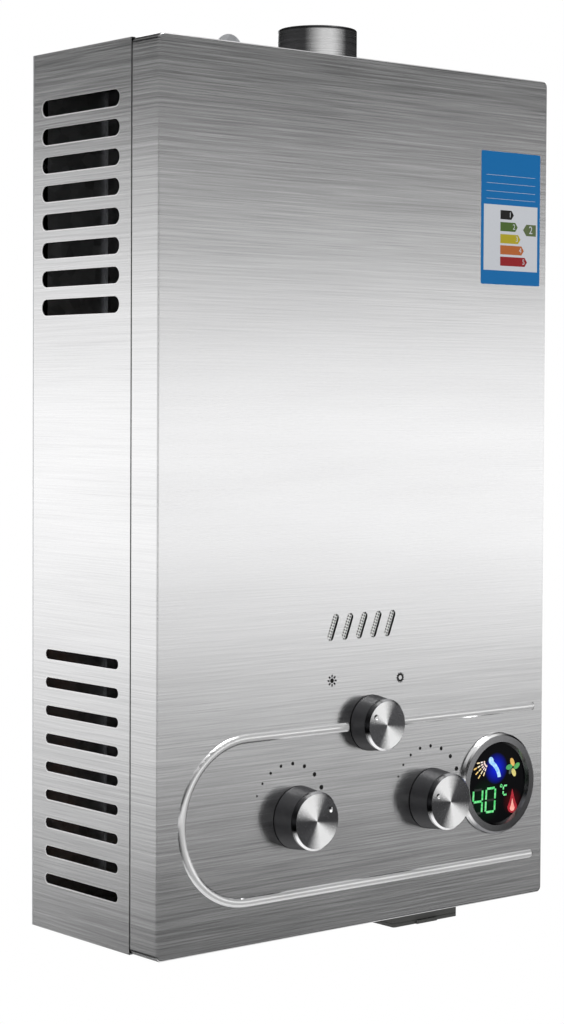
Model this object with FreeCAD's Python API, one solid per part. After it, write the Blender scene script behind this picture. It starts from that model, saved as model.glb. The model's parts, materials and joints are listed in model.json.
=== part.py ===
import FreeCAD, Part

import math
import os

Vec = FreeCAD.Vector

# Gas-fired tankless water heater, hung on a wall by the hole at the top of its back plate.
# The origin is the centre of that hole on the wall, X runs right, the front looks along -Y.
# The sizes along Y below are measured from the casing's rear, which stands off the wall.

# Casing
casing_width = 428
casing_height = 720
casing_depth = 173
cover_depth = 35
sheet = 1.0
back_sheet = 1.2
corner_radius = 5
cover_edge_radius = 1.5
seam_gap = 0.4
lip_length = 10
lip_clearance = 0.3
flange_length = 12
# the hanging hole's centre stands this far above the casing, and the tab ends above the hole
hanging_hole_rise = 24
hanging_hole_radius = 5
tab_width = 30
tab_above_hole = 17.6
# the tabs step back to the wall, so the casing stands this far off it
wall_standoff = 11
tab_step_start = 1
fixing_tab_height = 30
fixing_hole_edge = 9
fixing_tab_width = 150
fixing_hole_spacing = 120
fixing_hole_radius = 3.25
back_rib_width = 24
back_rib_depth = 4
back_rib_spacing = 130
back_rib_foot = 32.5

# Air slots in the sides: first centre height above the bottom, and their run behind the front face
slot_pitch = 23.2
lower_slot_count = 9
lower_slot_first = 42.5
lower_slot_height = 8.1
lower_slot_length = 102
upper_slot_count = 8
upper_slot_first = 512.5
upper_slot_height = 13.2
upper_slot_length = 108.3
slot_setback = 51.3

# Pressed bead round the controls
bead_width = 7.5
bead_height = 1.8
bead_radius = 65.8
bead_bend_x = -123.8
bead_end_x = 200
bead_height_above_bottom = 101.5
bead_seat_clearance = 2.5
bottom_vent_count = 4
bottom_vent_pitch = 11.6
bottom_vent_width = 4
bottom_vent_length = 50
bottom_vent_setback = 12
cover_screw_spread = 285
panel_screw_count = 4

# Knobs
knob_radius = 26
knob_height = 24
knob_x_gas = -70.4
knob_x_water = 78.7
control_height = 98
season_radius = 23.5
season_knob_height = 20
season_x = 9
season_height = 168.8
gas_dimple_reach = 16.5
gas_dimple_angle = 30.6
water_dimple_reach = 15.7
water_dimple_angle = 156.7
season_dimple_reach = 14.4
season_dimple_angle = 149
knob_gap = 0.8
knob_wall = 2.5
knob_hub_radius = 8
knob_taper = 2
cap_thickness = 1.0
cap_chamfer = 2.5
cap_height = 4
cap_groove = 0.6
dimple_radius = 2.5
dimple_depth = 0.7
spindle_radius = 4
spindle_flat = 1.2
spindle_clearance = 0.05
shaft_clearance = 0.06
cover_hole_clearance = 3

# Viewing slots and the perforated screen behind them
window_count = 5
window_pitch = 15.75
window_centre_x = -2.2
window_height = 251
window_width = 6.6
window_length = 23
window_lean = 21
screen_margin = 8
screen_hole_radius = 0.8
screen_hole_pitch = 2.4
screen_hole_rows = 8

# Display
display_x = 156.5
display_height = 103.2
bezel_radius = 44.5
bezel_proud = 4.5
window_radius = 35
lens_radius = 38
lens_thickness = 2
lens_recess = 1.6
lens_seat = 1
bezel_bevel = 1.5
bezel_shoulder = 2.5
bezel_edge = 0.6
bezel_edge_drop = 1.4
bezel_sleeve = 3
housing_radius = 40
housing_depth = 26
housing_wall = 2
board_thickness = 1.6
board_setback = 8

# Flue
flue_radius = 33.5
flue_setback = 63.5
flue_rise = 30
flue_insert = 30
flue_flange = 6
flue_rim = 1.2
flue_groove = 1
flue_groove_depth = 0.4
flue_fit = 0.3

# Combustion chamber, exchanger and smoke hood
chamber_width = 232
chamber_depth = 112
chamber_rear_gap = 36
chamber_bottom = 262
chamber_sheet = 1.0
chamber_corner = 14
flange_out = 8
pass_count = 5
pass_pitch = 21
pass_height = 461
exchanger_below = 37
exchanger_above = 39
exchanger_bottom = pass_height - exchanger_below
exchanger_top = pass_height + exchanger_above
exchanger_tube_radius = 8
exchanger_tube_wall = 0.8
braze_gap = 0.1
fin_count = 31
fin_pitch = 6.4
fin_thickness = 0.5
hood_straight = 40
hood_top_height = 640
hood_window_length = 150
hood_window_height = 22
bracket_width = 180

# Water pipes
pipe_radius = 7
pipe_wall = 1.0
pipe_bend = 24
pipe_end_bend = 22
coil_gap = 0.3
coil_first_height = 285
coil_climb = 12
coil_turns = 2
riser_x = 150
hot_x = -150
connection_y = -60
hot_y = -50

# Burner
burner_bottom = 205
burner_foot = 150
bar_count = 12
bar_pitch = 18.5
bar_thickness = 10
bar_top_gap = 10
bar_top_depth = 34
venturi_height = 14
venturi_start = -91
venturi_bore = 4
port_width = 2
port_depth = 3
port_margin = 8
manifold_size = 22
manifold_y = -112
season_boss_radius = 15
season_boss_front = -136
season_plug_radius = 8
season_bore = 4.5
injector_radius = 3.5
injector_length = 8
injector_orifice = 0.6
injector_seat_length = 4.8
injector_tip_radius = 2.4
season_plug_rear = 5.5

# Gas valve
gas_left = -100
gas_right = -22
valve_front = -122
valve_rear = -46
valve_half_height = 26
gas_way = 6
linkage_y = -95
gas_plug_radius = 9
gas_plug_front = -116
gas_plug_rear = -76
poppet_chamber_radius = 12
poppet_left = -60
poppet_seat = -40
poppet_way = 7
poppet_radius = 10
poppet_thickness = 3
poppet_stem_radius = 2.5
poppet_gap = 0.3
spring_wire = 0.5
spring_turns = 4
solenoid_radius = 14
solenoid_length = 38
solenoid_waist_radius = 11.2
solenoid_cap = 4.8
solenoid_gap = 9.5
solenoid_collar = 6.3
solenoid_collar_radius = 13.3
gas_plug_way = 5
riser_straight = 14.2
riser_gas_x = -29

# Water valve
water_left = 40
water_right = 110
bell_left = 6
bell_radius = 42
bell_wall = 3
bell_dome_radius = 33
bell_hollow_radius = 30
diaphragm_x = 22
diaphragm_thickness = 2
plate_radius = 20
plate_thickness = 2
push_rod_radius = 2.5
neck_radius = 7
neck_length = 8
flange_screw_count = 6
flange_screw_radius = 2
flange_screw_circle = 37
flange_screw_head = 3.2
water_way = 6.5
water_outlet_radius = 5.5
pressure_way = 3.2
needle_radius = 6
needle_front = -114
needle_socket = 10
needle_socket_floor = 2
needle_stem_radius = 3
needle_stem = 9
needle_tip = 4
needle_tip_radius = 1.5
needle_travel = 3
needle_play = 1
needle_seat_radius = 4
drain_x = 50
drain_radius = 8
drain_head_radius = 10
drain_drop = 14
drain_head_height = 9
drain_thread_radius = 6
drain_thread_length = 8
drain_bore_depth = 10
drain_grip_count = 12
drain_grip_radius = 1.5
drain_grip_out = 0.8

# Water-flow switch
switch_x = -4
switch_width = 12
switch_depth = 22
switch_height = 14
switch_lift = 16
switch_arm_rise = 4.7
lever_length = 15.5
lever_eye = 2.4
collar_radius = 6
collar_width = 2
lever_width = 5
lever_thickness = 0.8
lever_pin_radius = 1.2

# Screwed connections, half-inch pipe thread
thread_radius = 10.48
connection_drop = 20
hex_across = 27
collar_height = 8
nut_height = 7
relief_width = 1.5
relief_depth = 0.9
hot_spigot = 30

# Battery box for two large round cells
cell_radius = 17.1
cell_height = 61.5
cell_button_radius = 4.5
cell_button_height = 1.5
cell_gap = 1.2
battery_wall = 2
battery_x = 110.5
battery_setback = 40
battery_drop = 20
door_thickness = 3
door_gap = 0.4
contact_length = 8
contact_radius = 5
contact_tip_radius = 3
contact_wire = 0.45
contact_turns = 3
hinge_pin_radius = 1
hinge_knuckle_radius = 2.4
hinge_knuckle_length = 14
hinge_pin_inset = 4
battery_rim = 3
door_rib_half = 12
door_rib_out = 2

# Ignition
electrode_radius = 3.5
electrode_length = 14
electrode_wire = 0.8
electrode_reach = 14
electrode_drop = 3
electrode_xs = (-60, 55, 75)
electrode_plate = 1.2
electrode_above_frame = 6
lead_radius = 2
igniter_width = 30
igniter_depth = 60
igniter_height = 100
igniter_front = -125
igniter_bottom = 270
thermostat_radius = 8
thermostat_thickness = 9
thermostat_height = 443

# Screws
screw_radius = 2
screw_head_radius = 3.6
screw_head_height = 2

# Leads' arcs take this share of the shorter run, and a run shorter than the least is left out
lead_arc_share = 0.45
least_run = 0.001

# Places worked out from the sizes above
half_width = casing_width / 2
top = -hanging_hole_rise
bottom = top - casing_height
face = -casing_depth
seam = face + cover_depth
inner = half_width - sheet
lip_edge = half_width - sheet - lip_clearance
flue_y = face + flue_setback
chamber_front = -chamber_rear_gap - chamber_depth
chamber_rear = -chamber_rear_gap
chamber_half = chamber_width / 2
control_z = bottom + control_height
season_z = bottom + season_height
display_z = bottom + display_height
bead_z = bottom + bead_height_above_bottom
frame_top = bottom + chamber_bottom
bar_top = frame_top - bar_top_gap


def box(x0, x1, y0, y1, z0, z1):
    """Box between two corners."""
    return Part.makeBox(x1 - x0, y1 - y0, z1 - z0, Vec(x0, y0, z0))


def rod(radius, start, end):
    """Round bar from one point to another."""
    along = end - start
    return Part.makeCylinder(radius, along.Length, start, along)


def pipe(outer, bore, start, end):
    """Straight pipe from one point to another."""
    return rod(outer, start, end).cut(rod(bore, start, end))


def fuse(solids):
    """Join solids into one, with shared faces merged."""
    joined = solids[0]
    for solid in solids[1:]:
        joined = joined.fuse(solid)
    return joined.removeSplitter()


def cut(solid, tools):
    """Cut each tool from a solid."""
    for tool in tools:
        solid = solid.cut(tool)
    return solid


def turned(profile, x, z):
    """Solid of revolution about the line through x and z that points along Y.

    The profile holds pairs of radius and distance in front of the face.
    """
    points = [Vec(x + radius, face - proud, z) for radius, proud in profile]
    outline = Part.makePolygon(points + points[:1])
    return Part.Face(outline).revolve(Vec(x, 0, z), Vec(0, 1, 0), 360)


def corner_arc(before, corner, after, radius):
    """Start, middle and end of the arc that rounds a corner."""
    inward = (before - corner).normalize()
    outward = (after - corner).normalize()
    half_turn = (math.pi - inward.getAngle(outward)) / 2
    reach = radius * math.tan(half_turn)
    middle = corner + (inward + outward).normalize() * (radius / math.cos(half_turn) - radius)
    return corner + inward * reach, middle, corner + outward * reach


def route(points, radii):
    """Wire of straight runs joined by tangent arcs."""
    edges = []
    here = points[0]
    for before, corner, after, radius in zip(points, points[1:], points[2:], radii):
        start, middle, end = corner_arc(before, corner, after, radius)
        if (start - here).Length > least_run:
            edges.append(Part.makeLine(here, start))
        edges.append(Part.Arc(start, middle, end).toShape())
        here = end
    edges.append(Part.makeLine(here, points[-1]))
    return Part.Wire(edges)


def swept(wire, start, along, radius):
    """Round section swept along a wire."""
    section = Part.Wire([Part.Circle(start, along, radius).toShape()])
    return wire.makePipeShell([section], True, False)


def bent_pipe(points, bend, outer, wall):
    """Bent pipe with its bore."""
    wire = route(points, [bend] * len(points))
    along = points[1] - points[0]
    return swept(wire, points[0], along, outer).cut(swept(wire, points[0], along, outer - wall))


def lead(points, name):
    """Flexible lead whose arcs are as large as its runs allow."""
    radii = []
    for before, corner, after in zip(points, points[1:], points[2:]):
        shorter = min((corner - before).Length, (after - corner).Length)
        turn = (corner - before).getAngle(after - corner)
        radii.append(lead_arc_share * shorter / math.tan(turn / 2))
    wire = route(points, radii)
    solid = swept(wire, points[0], points[1] - points[0], lead_radius)
    section = math.pi * lead_radius ** 2
    print(name, "arc radii", [round(radius, 1) for radius in radii])
    print(name, "volume over section times length", round(solid.Volume / (section * wire.Length), 4))
    return solid


def arc_from(start, along, end):
    """Arc that leaves start along a direction and reaches end."""
    chord = end - start
    reach = Vec(chord).normalize()
    angle = along.getAngle(chord)
    side = along - reach * along.dot(reach)
    sagitta = chord.Length / 2 * math.tan(angle / 2)
    return Part.Arc(start, start + chord * 0.5 + side.normalize() * sagitta, end).toShape()


def coil(start, axis, side, radius_start, radius_end, length, turns, wire_radius, name):
    """Wound spring, one unbroken wire on pairs of arcs, two pairs to a turn."""
    axis = Vec(axis).normalize()
    side = Vec(side).normalize()
    other = axis.cross(side)
    count = turns * 4

    def place(step):
        share = step / count
        angle = step * math.pi / 2
        radius = radius_start + (radius_end - radius_start) * share
        return start + axis * (length * share) + (side * math.cos(angle) + other * math.sin(angle)) * radius

    def heading(step):
        angle = step * math.pi / 2
        radius = radius_start + (radius_end - radius_start) * step / count
        round_part = (other * math.cos(angle) - side * math.sin(angle)) * radius * math.pi / 2
        widening = (radius_end - radius_start) / count
        out_part = (side * math.cos(angle) + other * math.sin(angle)) * widening
        return (round_part + out_part + axis * (length / count)).normalize()

    edges = []
    for step in range(count):
        first, last = place(step), place(step + 1)
        leave, arrive = heading(step), heading(step + 1)
        chord = last - first
        spread = 2 * (1 - leave.dot(arrive))
        forward = chord.dot(leave + arrive)
        reach = (math.sqrt(forward ** 2 + spread * chord.dot(chord)) - forward) / spread
        joint = (first + last + (leave - arrive) * reach) * 0.5
        edges.append(arc_from(first, leave, joint))
        edges.append(arc_from(last, arrive * -1, joint))
    wire = Part.Wire(Part.__sortEdges__(edges))
    print(name, "least gap between turns", round(length / turns - 2 * wire_radius, 2))
    return swept(wire, place(0), heading(0), wire_radius)


def group(solids):
    """Several separate solids in one node."""
    return Part.makeCompound(solids)


def save(shape, node):
    """Write one node, measured from the wall, after a check that it is sound."""
    if not shape.isValid() or shape.Volume <= 0:
        print("unsound shape:", node)
    shape.translated(Vec(0, -wall_standoff, 0)).exportStep("parts/" + node + ".step")


# Casing


def stadium_tool(length, height, y, z, x0, x1):
    """Tool for one long slot through a side panel, from y rearwards."""
    radius = height / 2
    middle = box(x0, x1, y + radius, y + length - radius, z - radius, z + radius)
    front = rod(radius, Vec(x0, y + radius, z), Vec(x1, y + radius, z))
    rear = rod(radius, Vec(x0, y + length - radius, z), Vec(x1, y + length - radius, z))
    return fuse([middle, front, rear])


def side_slots(x0, x1):
    """All the air slots of one side."""
    start = face + slot_setback
    tools = []
    for index in range(lower_slot_count):
        z = bottom + lower_slot_first + index * slot_pitch
        tools.append(stadium_tool(lower_slot_length, lower_slot_height, start, z, x0, x1))
    for index in range(upper_slot_count):
        z = bottom + upper_slot_first + index * slot_pitch
        tools.append(stadium_tool(upper_slot_length, upper_slot_height, start, z, x0, x1))
    return tools


def side_panel(side):
    """Side wall with a rear flange and a joggled lip that sits inside the front cover."""
    front = seam + seam_gap
    rear = -back_sheet
    wall = box(inner, half_width, front, rear, bottom, top)
    flange = box(inner - flange_length, inner, rear - sheet, rear, bottom + sheet, top - sheet)
    low = bottom + corner_radius
    high = top - corner_radius
    lip = box(lip_edge - sheet, lip_edge, front - lip_length, front + sheet, low, high)
    step = box(lip_edge - sheet, inner, front, front + sheet, low, high)
    panel = cut(fuse([wall, flange, step, lip]), side_slots(inner - sheet, half_width + sheet))
    if side < 0:
        panel = panel.mirror(Vec(0, 0, 0), Vec(1, 0, 0))
    return panel


def end_plate(outside, inward):
    """Top or bottom plate between the side panels, its four edges turned inwards."""
    front = seam + seam_gap
    rear = -back_sheet
    inside = outside + inward * sheet
    turned_in = outside + inward * (sheet + flange_length)
    lip_out = outside + inward * (sheet + lip_clearance)
    lip_in = lip_out + inward * sheet

    def layer(x0, x1, y0, y1, z0, z1):
        return box(x0, x1, y0, y1, min(z0, z1), max(z0, z1))

    side = inner - flange_length
    plate = layer(-inner, inner, front, rear, outside, inside)
    flanges = []
    for sign in (-1, 1):
        near, far = sorted((sign * inner, sign * (inner - sheet)))
        flanges.append(layer(near, far, front + 2 * sheet, rear - 2 * sheet, outside, turned_in))
    flanges.append(layer(-side + sheet, side - sheet, rear - sheet, rear, outside, turned_in))
    lip_half = half_width - corner_radius
    flanges.append(layer(-lip_half, lip_half, front, front + sheet, outside, lip_in))
    flanges.append(layer(-lip_half, lip_half, front - lip_length, front + sheet, lip_out, lip_in))
    return fuse([plate] + flanges)


def top_plate():
    """Top plate with the hole for the flue."""
    return end_plate(top, -1).cut(flue_hole())


def flue_hole():
    """Tool for the flue's hole through the top plate and its lip."""
    deep = top - flange_length - sheet
    return rod(flue_radius + flue_fit, Vec(0, flue_y, deep), Vec(0, flue_y, top + sheet))


def bottom_plate():
    """Bottom plate with holes for the connections, the drain and the battery box."""
    low = bottom - sheet
    high = bottom + 2 * sheet
    tools = []
    for x, y in connection_places():
        tools.append(rod(thread_radius + spindle_clearance, Vec(x, y, low), Vec(x, y, high)))
    drain = Vec(drain_x, connection_y, low)
    tools.append(rod(drain_radius + lip_clearance, drain, Vec(drain_x, connection_y, high)))
    x0, x1, y0, y1 = battery_outline()
    fit = spindle_clearance
    tools.append(box(x0 - fit, x1 + fit, y0 - fit, y1 + fit, low, high))
    vent_start = seam + bottom_vent_setback
    half = bottom_vent_width / 2
    for sign in (-1, 1):
        for index in range(bottom_vent_count):
            x = sign * (half_width - slot_pitch - index * bottom_vent_pitch)
            tools.append(box(x - half, x + half, vent_start, vent_start + bottom_vent_length, low, high))
    return cut(end_plate(bottom, 1), tools)


def back_plate():
    """Back plate with its hanging tab, fixing tab and pressed ribs."""
    plate = box(-half_width, half_width, -back_sheet, 0, bottom, top)
    arch = tab_width / 2
    crown_z = tab_above_hole - arch
    outline = box(-arch, arch, -back_sheet, wall_standoff, top - sheet, crown_z)
    crown = rod(arch, Vec(0, -back_sheet, crown_z), Vec(0, wall_standoff, crown_z))
    tab = stepped_tab(top, 1, tab_above_hole - top, arch).common(outline.fuse(crown))
    foot = stepped_tab(bottom, -1, fixing_tab_height, fixing_tab_width / 2)
    ribs = []
    channels = []
    for sign in (-1, 0, 1):
        x = sign * back_rib_spacing
        low = bottom + back_rib_width
        high = top - back_rib_width
        half = back_rib_width / 2
        ribs.append(box(x - half, x + half, -back_rib_depth - back_sheet, -back_sheet, low, high))
        wall = half - back_sheet
        channels.append(box(x - wall, x + wall, -back_rib_depth, 1, low + back_sheet, high - back_sheet))
    tools = channels + [rod(hanging_hole_radius, Vec(0, 0, 0), Vec(0, 2 * wall_standoff, 0))]
    for sign in (-1, 1):
        x = sign * fixing_hole_spacing / 2
        z = bottom - fixing_tab_height + fixing_hole_edge
        tools.append(rod(fixing_hole_radius, Vec(x, 0, z), Vec(x, 2 * wall_standoff, z)))
    return cut(fuse([plate, tab, foot] + ribs), tools)


def stepped_tab(start, up, reach, half):
    """Strip of the back plate that runs up or down from its edge and steps back to the wall."""
    root = start - up * back_sheet
    step = start + up * tab_step_start
    landing = step + up * wall_standoff
    end = start + up * reach
    outline = [
        (-back_sheet, root),
        (0, root),
        (0, step),
        (wall_standoff, landing),
        (wall_standoff, end),
        (wall_standoff - back_sheet, end),
        (wall_standoff - back_sheet, landing),
        (-back_sheet, step),
    ]
    points = [Vec(-half, y, z) for y, z in outline]
    return Part.Face(Part.makePolygon(points + points[:1])).extrude(Vec(2 * half, 0, 0))


def pan(inset, front, rear, corner, edge):
    """Rounded box that stands in from the outside of the cover by an inset."""
    reach = half_width - inset
    body = box(-reach, reach, front, rear, bottom + inset, top - inset)
    corners = [line for line in body.Edges if abs(line.Vertexes[0].Y - line.Vertexes[1].Y) > sheet]
    body = body.makeFillet(corner, corners)
    rim = []
    for line in body.Edges:
        if all(abs(point.Y - front) < least_run for point in line.Vertexes):
            rim.append(line)
    return body.makeFillet(edge, rim)


def bead_section(radius, base, x, share):
    """Section of the bead across a straight run, whole or its upper half."""
    centre_y = face - bead_height + bead_circle()
    half_chord = math.sqrt(radius ** 2 - (centre_y - base) ** 2)
    crown = Vec(x, centre_y - radius, bead_z + bead_radius)
    upper = Vec(x, base, bead_z + bead_radius + half_chord)
    if share == "whole":
        lower = Vec(x, base, bead_z + bead_radius - half_chord)
        edges = [Part.Arc(lower, crown, upper).toShape(), Part.makeLine(upper, lower)]
    else:
        angle = math.atan2(half_chord, centre_y - base) / 2
        middle = Vec(x, centre_y - radius * math.cos(angle), crown.z + radius * math.sin(angle))
        foot = Vec(x, base, crown.z)
        edges = [Part.makeLine(foot, crown), Part.Arc(crown, middle, upper).toShape()]
        edges.append(Part.makeLine(upper, foot))
    return Part.Face(Part.Wire(edges))


def bead_circle():
    """Radius of the bead's round section."""
    return (bead_width ** 2 / 4 + bead_height ** 2) / (2 * bead_height)


def bead(radius, base):
    """Bead on the face: two straight runs, a round bend at the left and rounded ends at the right."""
    section = bead_section(radius, base, bead_bend_x, "whole")
    run = section.extrude(Vec(bead_end_x - bead_bend_x, 0, 0))
    lower_run = run.mirror(Vec(0, 0, bead_z), Vec(0, 0, 1))
    bend = section.revolve(Vec(bead_bend_x, 0, bead_z), Vec(0, -1, 0), 180)
    half = bead_section(radius, base, bead_end_x, "half")
    end = half.revolve(Vec(bead_end_x, 0, bead_z + bead_radius), Vec(0, 1, 0), 360)
    lower_end = end.mirror(Vec(0, 0, bead_z), Vec(0, 0, 1))
    seat_radius = season_radius + bead_seat_clearance
    seat = rod(seat_radius, Vec(season_x, face - knob_height, season_z), Vec(season_x, seam, season_z))
    return fuse([run, lower_run, bend, end, lower_end]).cut(seat)


def leaning_slot(x, y0, y1, width, length):
    """Round-ended slot along the viewing slots' slant."""
    lean = math.radians(window_lean)
    z = bottom + window_height
    radius = width / 2
    reach = length / 2 - radius
    ends = []
    for sign in (-1, 1):
        end_x = x + sign * reach * math.sin(lean)
        end_z = z + sign * reach * math.cos(lean)
        ends.append(rod(radius, Vec(end_x, y0, end_z), Vec(end_x, y1, end_z)))
    middle = box(x - radius, x + radius, y0, y1, z - reach, z + reach)
    middle.rotate(Vec(x, 0, z), Vec(0, 1, 0), window_lean)
    return fuse([middle] + ends)


def window_xs():
    """Centres of the viewing slots."""
    first = window_centre_x - window_pitch * (window_count - 1) / 2
    return [first + index * window_pitch for index in range(window_count)]


def front_cover():
    """Pressed front cover: a shallow pan with the bead, knob holes, display hole and viewing slots."""
    outer = pan(0, face, seam, corner_radius, cover_edge_radius)
    hollow = pan(sheet, face + sheet, seam + sheet, corner_radius - sheet, cover_edge_radius - sheet)
    circle = bead_circle()
    raised = bead(circle, face + sheet / 2)
    recess = bead(circle - sheet, face + sheet)
    front, rear = face - sheet, face + 2 * sheet
    hole = spindle_radius + cover_hole_clearance
    tools = [recess]
    for x, z in ((knob_x_gas, control_z), (knob_x_water, control_z), (season_x, season_z)):
        tools.append(rod(hole, Vec(x, front, z), Vec(x, rear, z)))
    display = housing_radius + lip_clearance
    tools.append(rod(display, Vec(display_x, front, display_z), Vec(display_x, rear, display_z)))
    for x in window_xs():
        tools.append(leaning_slot(x, front, rear, window_width, window_length))
    y = seam - lip_length / 2
    for x, z, _ in cover_screw_places():
        tools.append(rod(screw_radius, Vec(x, y, z - 2 * sheet), Vec(x, y, z + 2 * sheet)))
    notch = flue_radius + flue_fit
    tools.append(flue_hole())
    tools.append(box(-notch, notch, flue_y, 0, top - 2 * sheet, top + sheet))
    return cut(fuse([outer.cut(hollow), raised]), tools)


def cover_screw_places():
    """Places of the screws that hold the cover's top and bottom edges."""
    places = []
    for sign in (-1, 1):
        x = sign * cover_screw_spread / 2
        places.append((x, bottom, 1))
        places.append((x, top, -1))
    return places


def casing_screws():
    """Screws of the front cover, and those that hold the side panels to the back plate."""
    screws = []
    y = seam - lip_length / 2
    for x, z, inward in cover_screw_places():
        head = rod(screw_head_radius, Vec(x, y, z - inward * screw_head_height), Vec(x, y, z))
        reach = z + inward * (sheet + lip_clearance)
        shank = rod(screw_radius - spindle_clearance, Vec(x, y, z), Vec(x, y, reach))
        screws.append(fuse([head, shank]))
    flange_x = inner - flange_length / 2
    rear = -back_sheet - sheet
    for sign in (-1, 1):
        for index in range(panel_screw_count):
            z = bottom + casing_height * (index + 0.5) / panel_screw_count
            x = sign * flange_x
            screws.append(rod(screw_head_radius, Vec(x, rear - screw_head_height, z), Vec(x, rear, z)))
    return group(screws)


def viewing_screen():
    """Perforated screen on the inside of the cover, with holes where the slots show it."""
    lean = math.radians(window_lean)
    xs = window_xs()
    half_height = window_length / 2 + screen_margin
    left = xs[0] - window_pitch / 2 - screen_margin
    right = xs[-1] + window_pitch / 2 + screen_margin
    front = face + sheet
    z = bottom + window_height
    plate = box(left, right, front, front + sheet / 2, z - half_height, z + half_height)
    holes = []
    for x in xs:
        for column in (-1, 1):
            for row in range(screen_hole_rows):
                along = (row - (screen_hole_rows - 1) / 2) * screen_hole_pitch
                across = column * screen_hole_pitch / 2 - screen_hole_pitch / 4
                hole_x = x + across * math.cos(lean) + along * math.sin(lean)
                hole_z = z - across * math.sin(lean) + along * math.cos(lean)
                start = Vec(hole_x, front - sheet, hole_z)
                holes.append(rod(screen_hole_radius, start, start + Vec(0, 2 * sheet, 0)))
    return plate.cut(group(holes))


# Knobs


def spindle_end(x, z, height, clearance):
    """End of a spindle inside its knob, round with one flat."""
    radius = spindle_radius + clearance
    front = face - height + cap_height + knob_wall
    rear = face - knob_gap
    bar = rod(radius, Vec(x, front - clearance, z), Vec(x, rear, z))
    flat = z + spindle_radius - spindle_flat + clearance
    return bar.cut(box(x - 2 * radius, x + 2 * radius, front - 1, rear + 1, flat, flat + 2 * radius))


def knob(x, z, radius, height):
    """Moulded knob: tapered skirt, hub round the spindle, and a top that the metal cap covers."""
    top_radius = radius - knob_taper
    core = top_radius - cap_thickness
    outline = [
        (0, height - cap_thickness),
        (core - cap_chamfer, height - cap_thickness),
        (core, height - cap_thickness - cap_chamfer),
        (core, height - cap_height),
        (top_radius - cap_groove, height - cap_height),
        (top_radius - cap_groove, height - cap_height - cap_groove),
        (top_radius, height - cap_height - cap_groove),
        (radius, knob_gap),
        (radius - knob_wall, knob_gap),
        (top_radius - knob_wall, height - cap_height - knob_wall),
        (knob_hub_radius, height - cap_height - knob_wall),
        (knob_hub_radius, knob_gap),
        (0, knob_gap),
    ]
    return turned(outline, x, z).cut(spindle_end(x, z, height, spindle_clearance))


def knob_cap(x, z, radius, height, dimple_reach, dimple_angle):
    """Spun metal cap with a bright chamfer and one round dimple that points."""
    top_radius = radius - knob_taper
    core = top_radius - cap_thickness
    outline = [
        (0, height),
        (top_radius - cap_chamfer, height),
        (top_radius, height - cap_chamfer),
        (top_radius, height - cap_height),
        (core, height - cap_height),
        (core, height - cap_thickness - cap_chamfer),
        (core - cap_chamfer, height - cap_thickness),
        (0, height - cap_thickness),
    ]
    ball = (dimple_radius ** 2 + dimple_depth ** 2) / (2 * dimple_depth)
    angle = math.radians(dimple_angle)
    centre_x = x + dimple_reach * math.cos(angle)
    centre_z = z + dimple_reach * math.sin(angle)
    centre = Vec(centre_x, face - height + dimple_depth - ball, centre_z)
    return turned(outline, x, z).cut(Part.makeSphere(ball, centre))


def spindle(x, z, height, rear, radius):
    """Spindle from inside the knob back to a valve."""
    shaft = rod(radius, Vec(x, face - knob_gap, z), Vec(x, rear, z))
    return fuse([spindle_end(x, z, height, 0), shaft])


# Display


def display_bezel():
    """Bright ring on the face with a sleeve through the cover."""
    outline = [
        (window_radius, lens_seat),
        (window_radius + bezel_bevel, bezel_proud),
        (bezel_radius - bezel_shoulder, bezel_proud),
        (bezel_radius - bezel_edge, bezel_proud - bezel_edge_drop),
        (bezel_radius, 0),
        (housing_radius, 0),
        (housing_radius, -bezel_sleeve),
        (lens_radius + spindle_clearance, -bezel_sleeve),
        (lens_radius + spindle_clearance, lens_seat),
    ]
    return turned(outline, display_x, display_z)


def display_lens():
    """Dark glass window seated in the bezel."""
    rear = lens_seat - lens_thickness
    outline = [(0, lens_seat), (lens_radius, lens_seat), (lens_radius, rear), (0, rear)]
    return turned(outline, display_x, display_z)


def display_housing():
    """Moulded cup behind the display."""
    front = -bezel_sleeve
    rear = front - housing_depth
    outline = [
        (housing_radius - housing_wall, front),
        (housing_radius, front),
        (housing_radius, rear),
        (0, rear),
        (0, rear + housing_wall),
        (housing_radius - housing_wall, rear + housing_wall),
    ]
    return turned(outline, display_x, display_z)


def display_board():
    """Lamp board in the housing, with the lamp block behind the window."""
    front = lens_seat - lens_thickness - lens_recess
    reach = housing_radius - housing_wall
    outline = [
        (0, front),
        (window_radius - housing_wall, front),
        (window_radius - housing_wall, -board_setback),
        (reach, -board_setback),
        (reach, -board_setback - board_thickness),
        (0, -board_setback - board_thickness),
    ]
    return turned(outline, display_x, display_z)


# Flue


def flue_collar():
    """Collar with a rolled rim, a flange on the top plate and a shallow groove above the flange."""
    foot = Vec(0, flue_y, top - flue_insert)
    head = Vec(0, flue_y, top + flue_rise - flue_rim)
    bore = flue_radius - sheet
    body = pipe(flue_radius, bore, foot, head)
    flange = pipe(flue_radius + flue_flange, bore, Vec(0, flue_y, top), Vec(0, flue_y, top + sheet))
    rim = Part.makeTorus(flue_radius - flue_rim, flue_rim, head, Vec(0, 0, 1))
    seat = Vec(0, flue_y, top + sheet)
    groove = pipe(flue_radius, flue_radius - flue_groove_depth, seat, seat + Vec(0, 0, flue_groove))
    return fuse([body, flange, rim]).cut(groove)


def rectangle(x0, x1, y0, y1, z):
    """Level rectangular wire."""
    corners = [Vec(x0, y0, z), Vec(x1, y0, z), Vec(x1, y1, z), Vec(x0, y1, z)]
    return Part.makePolygon(corners + corners[:1])


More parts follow.
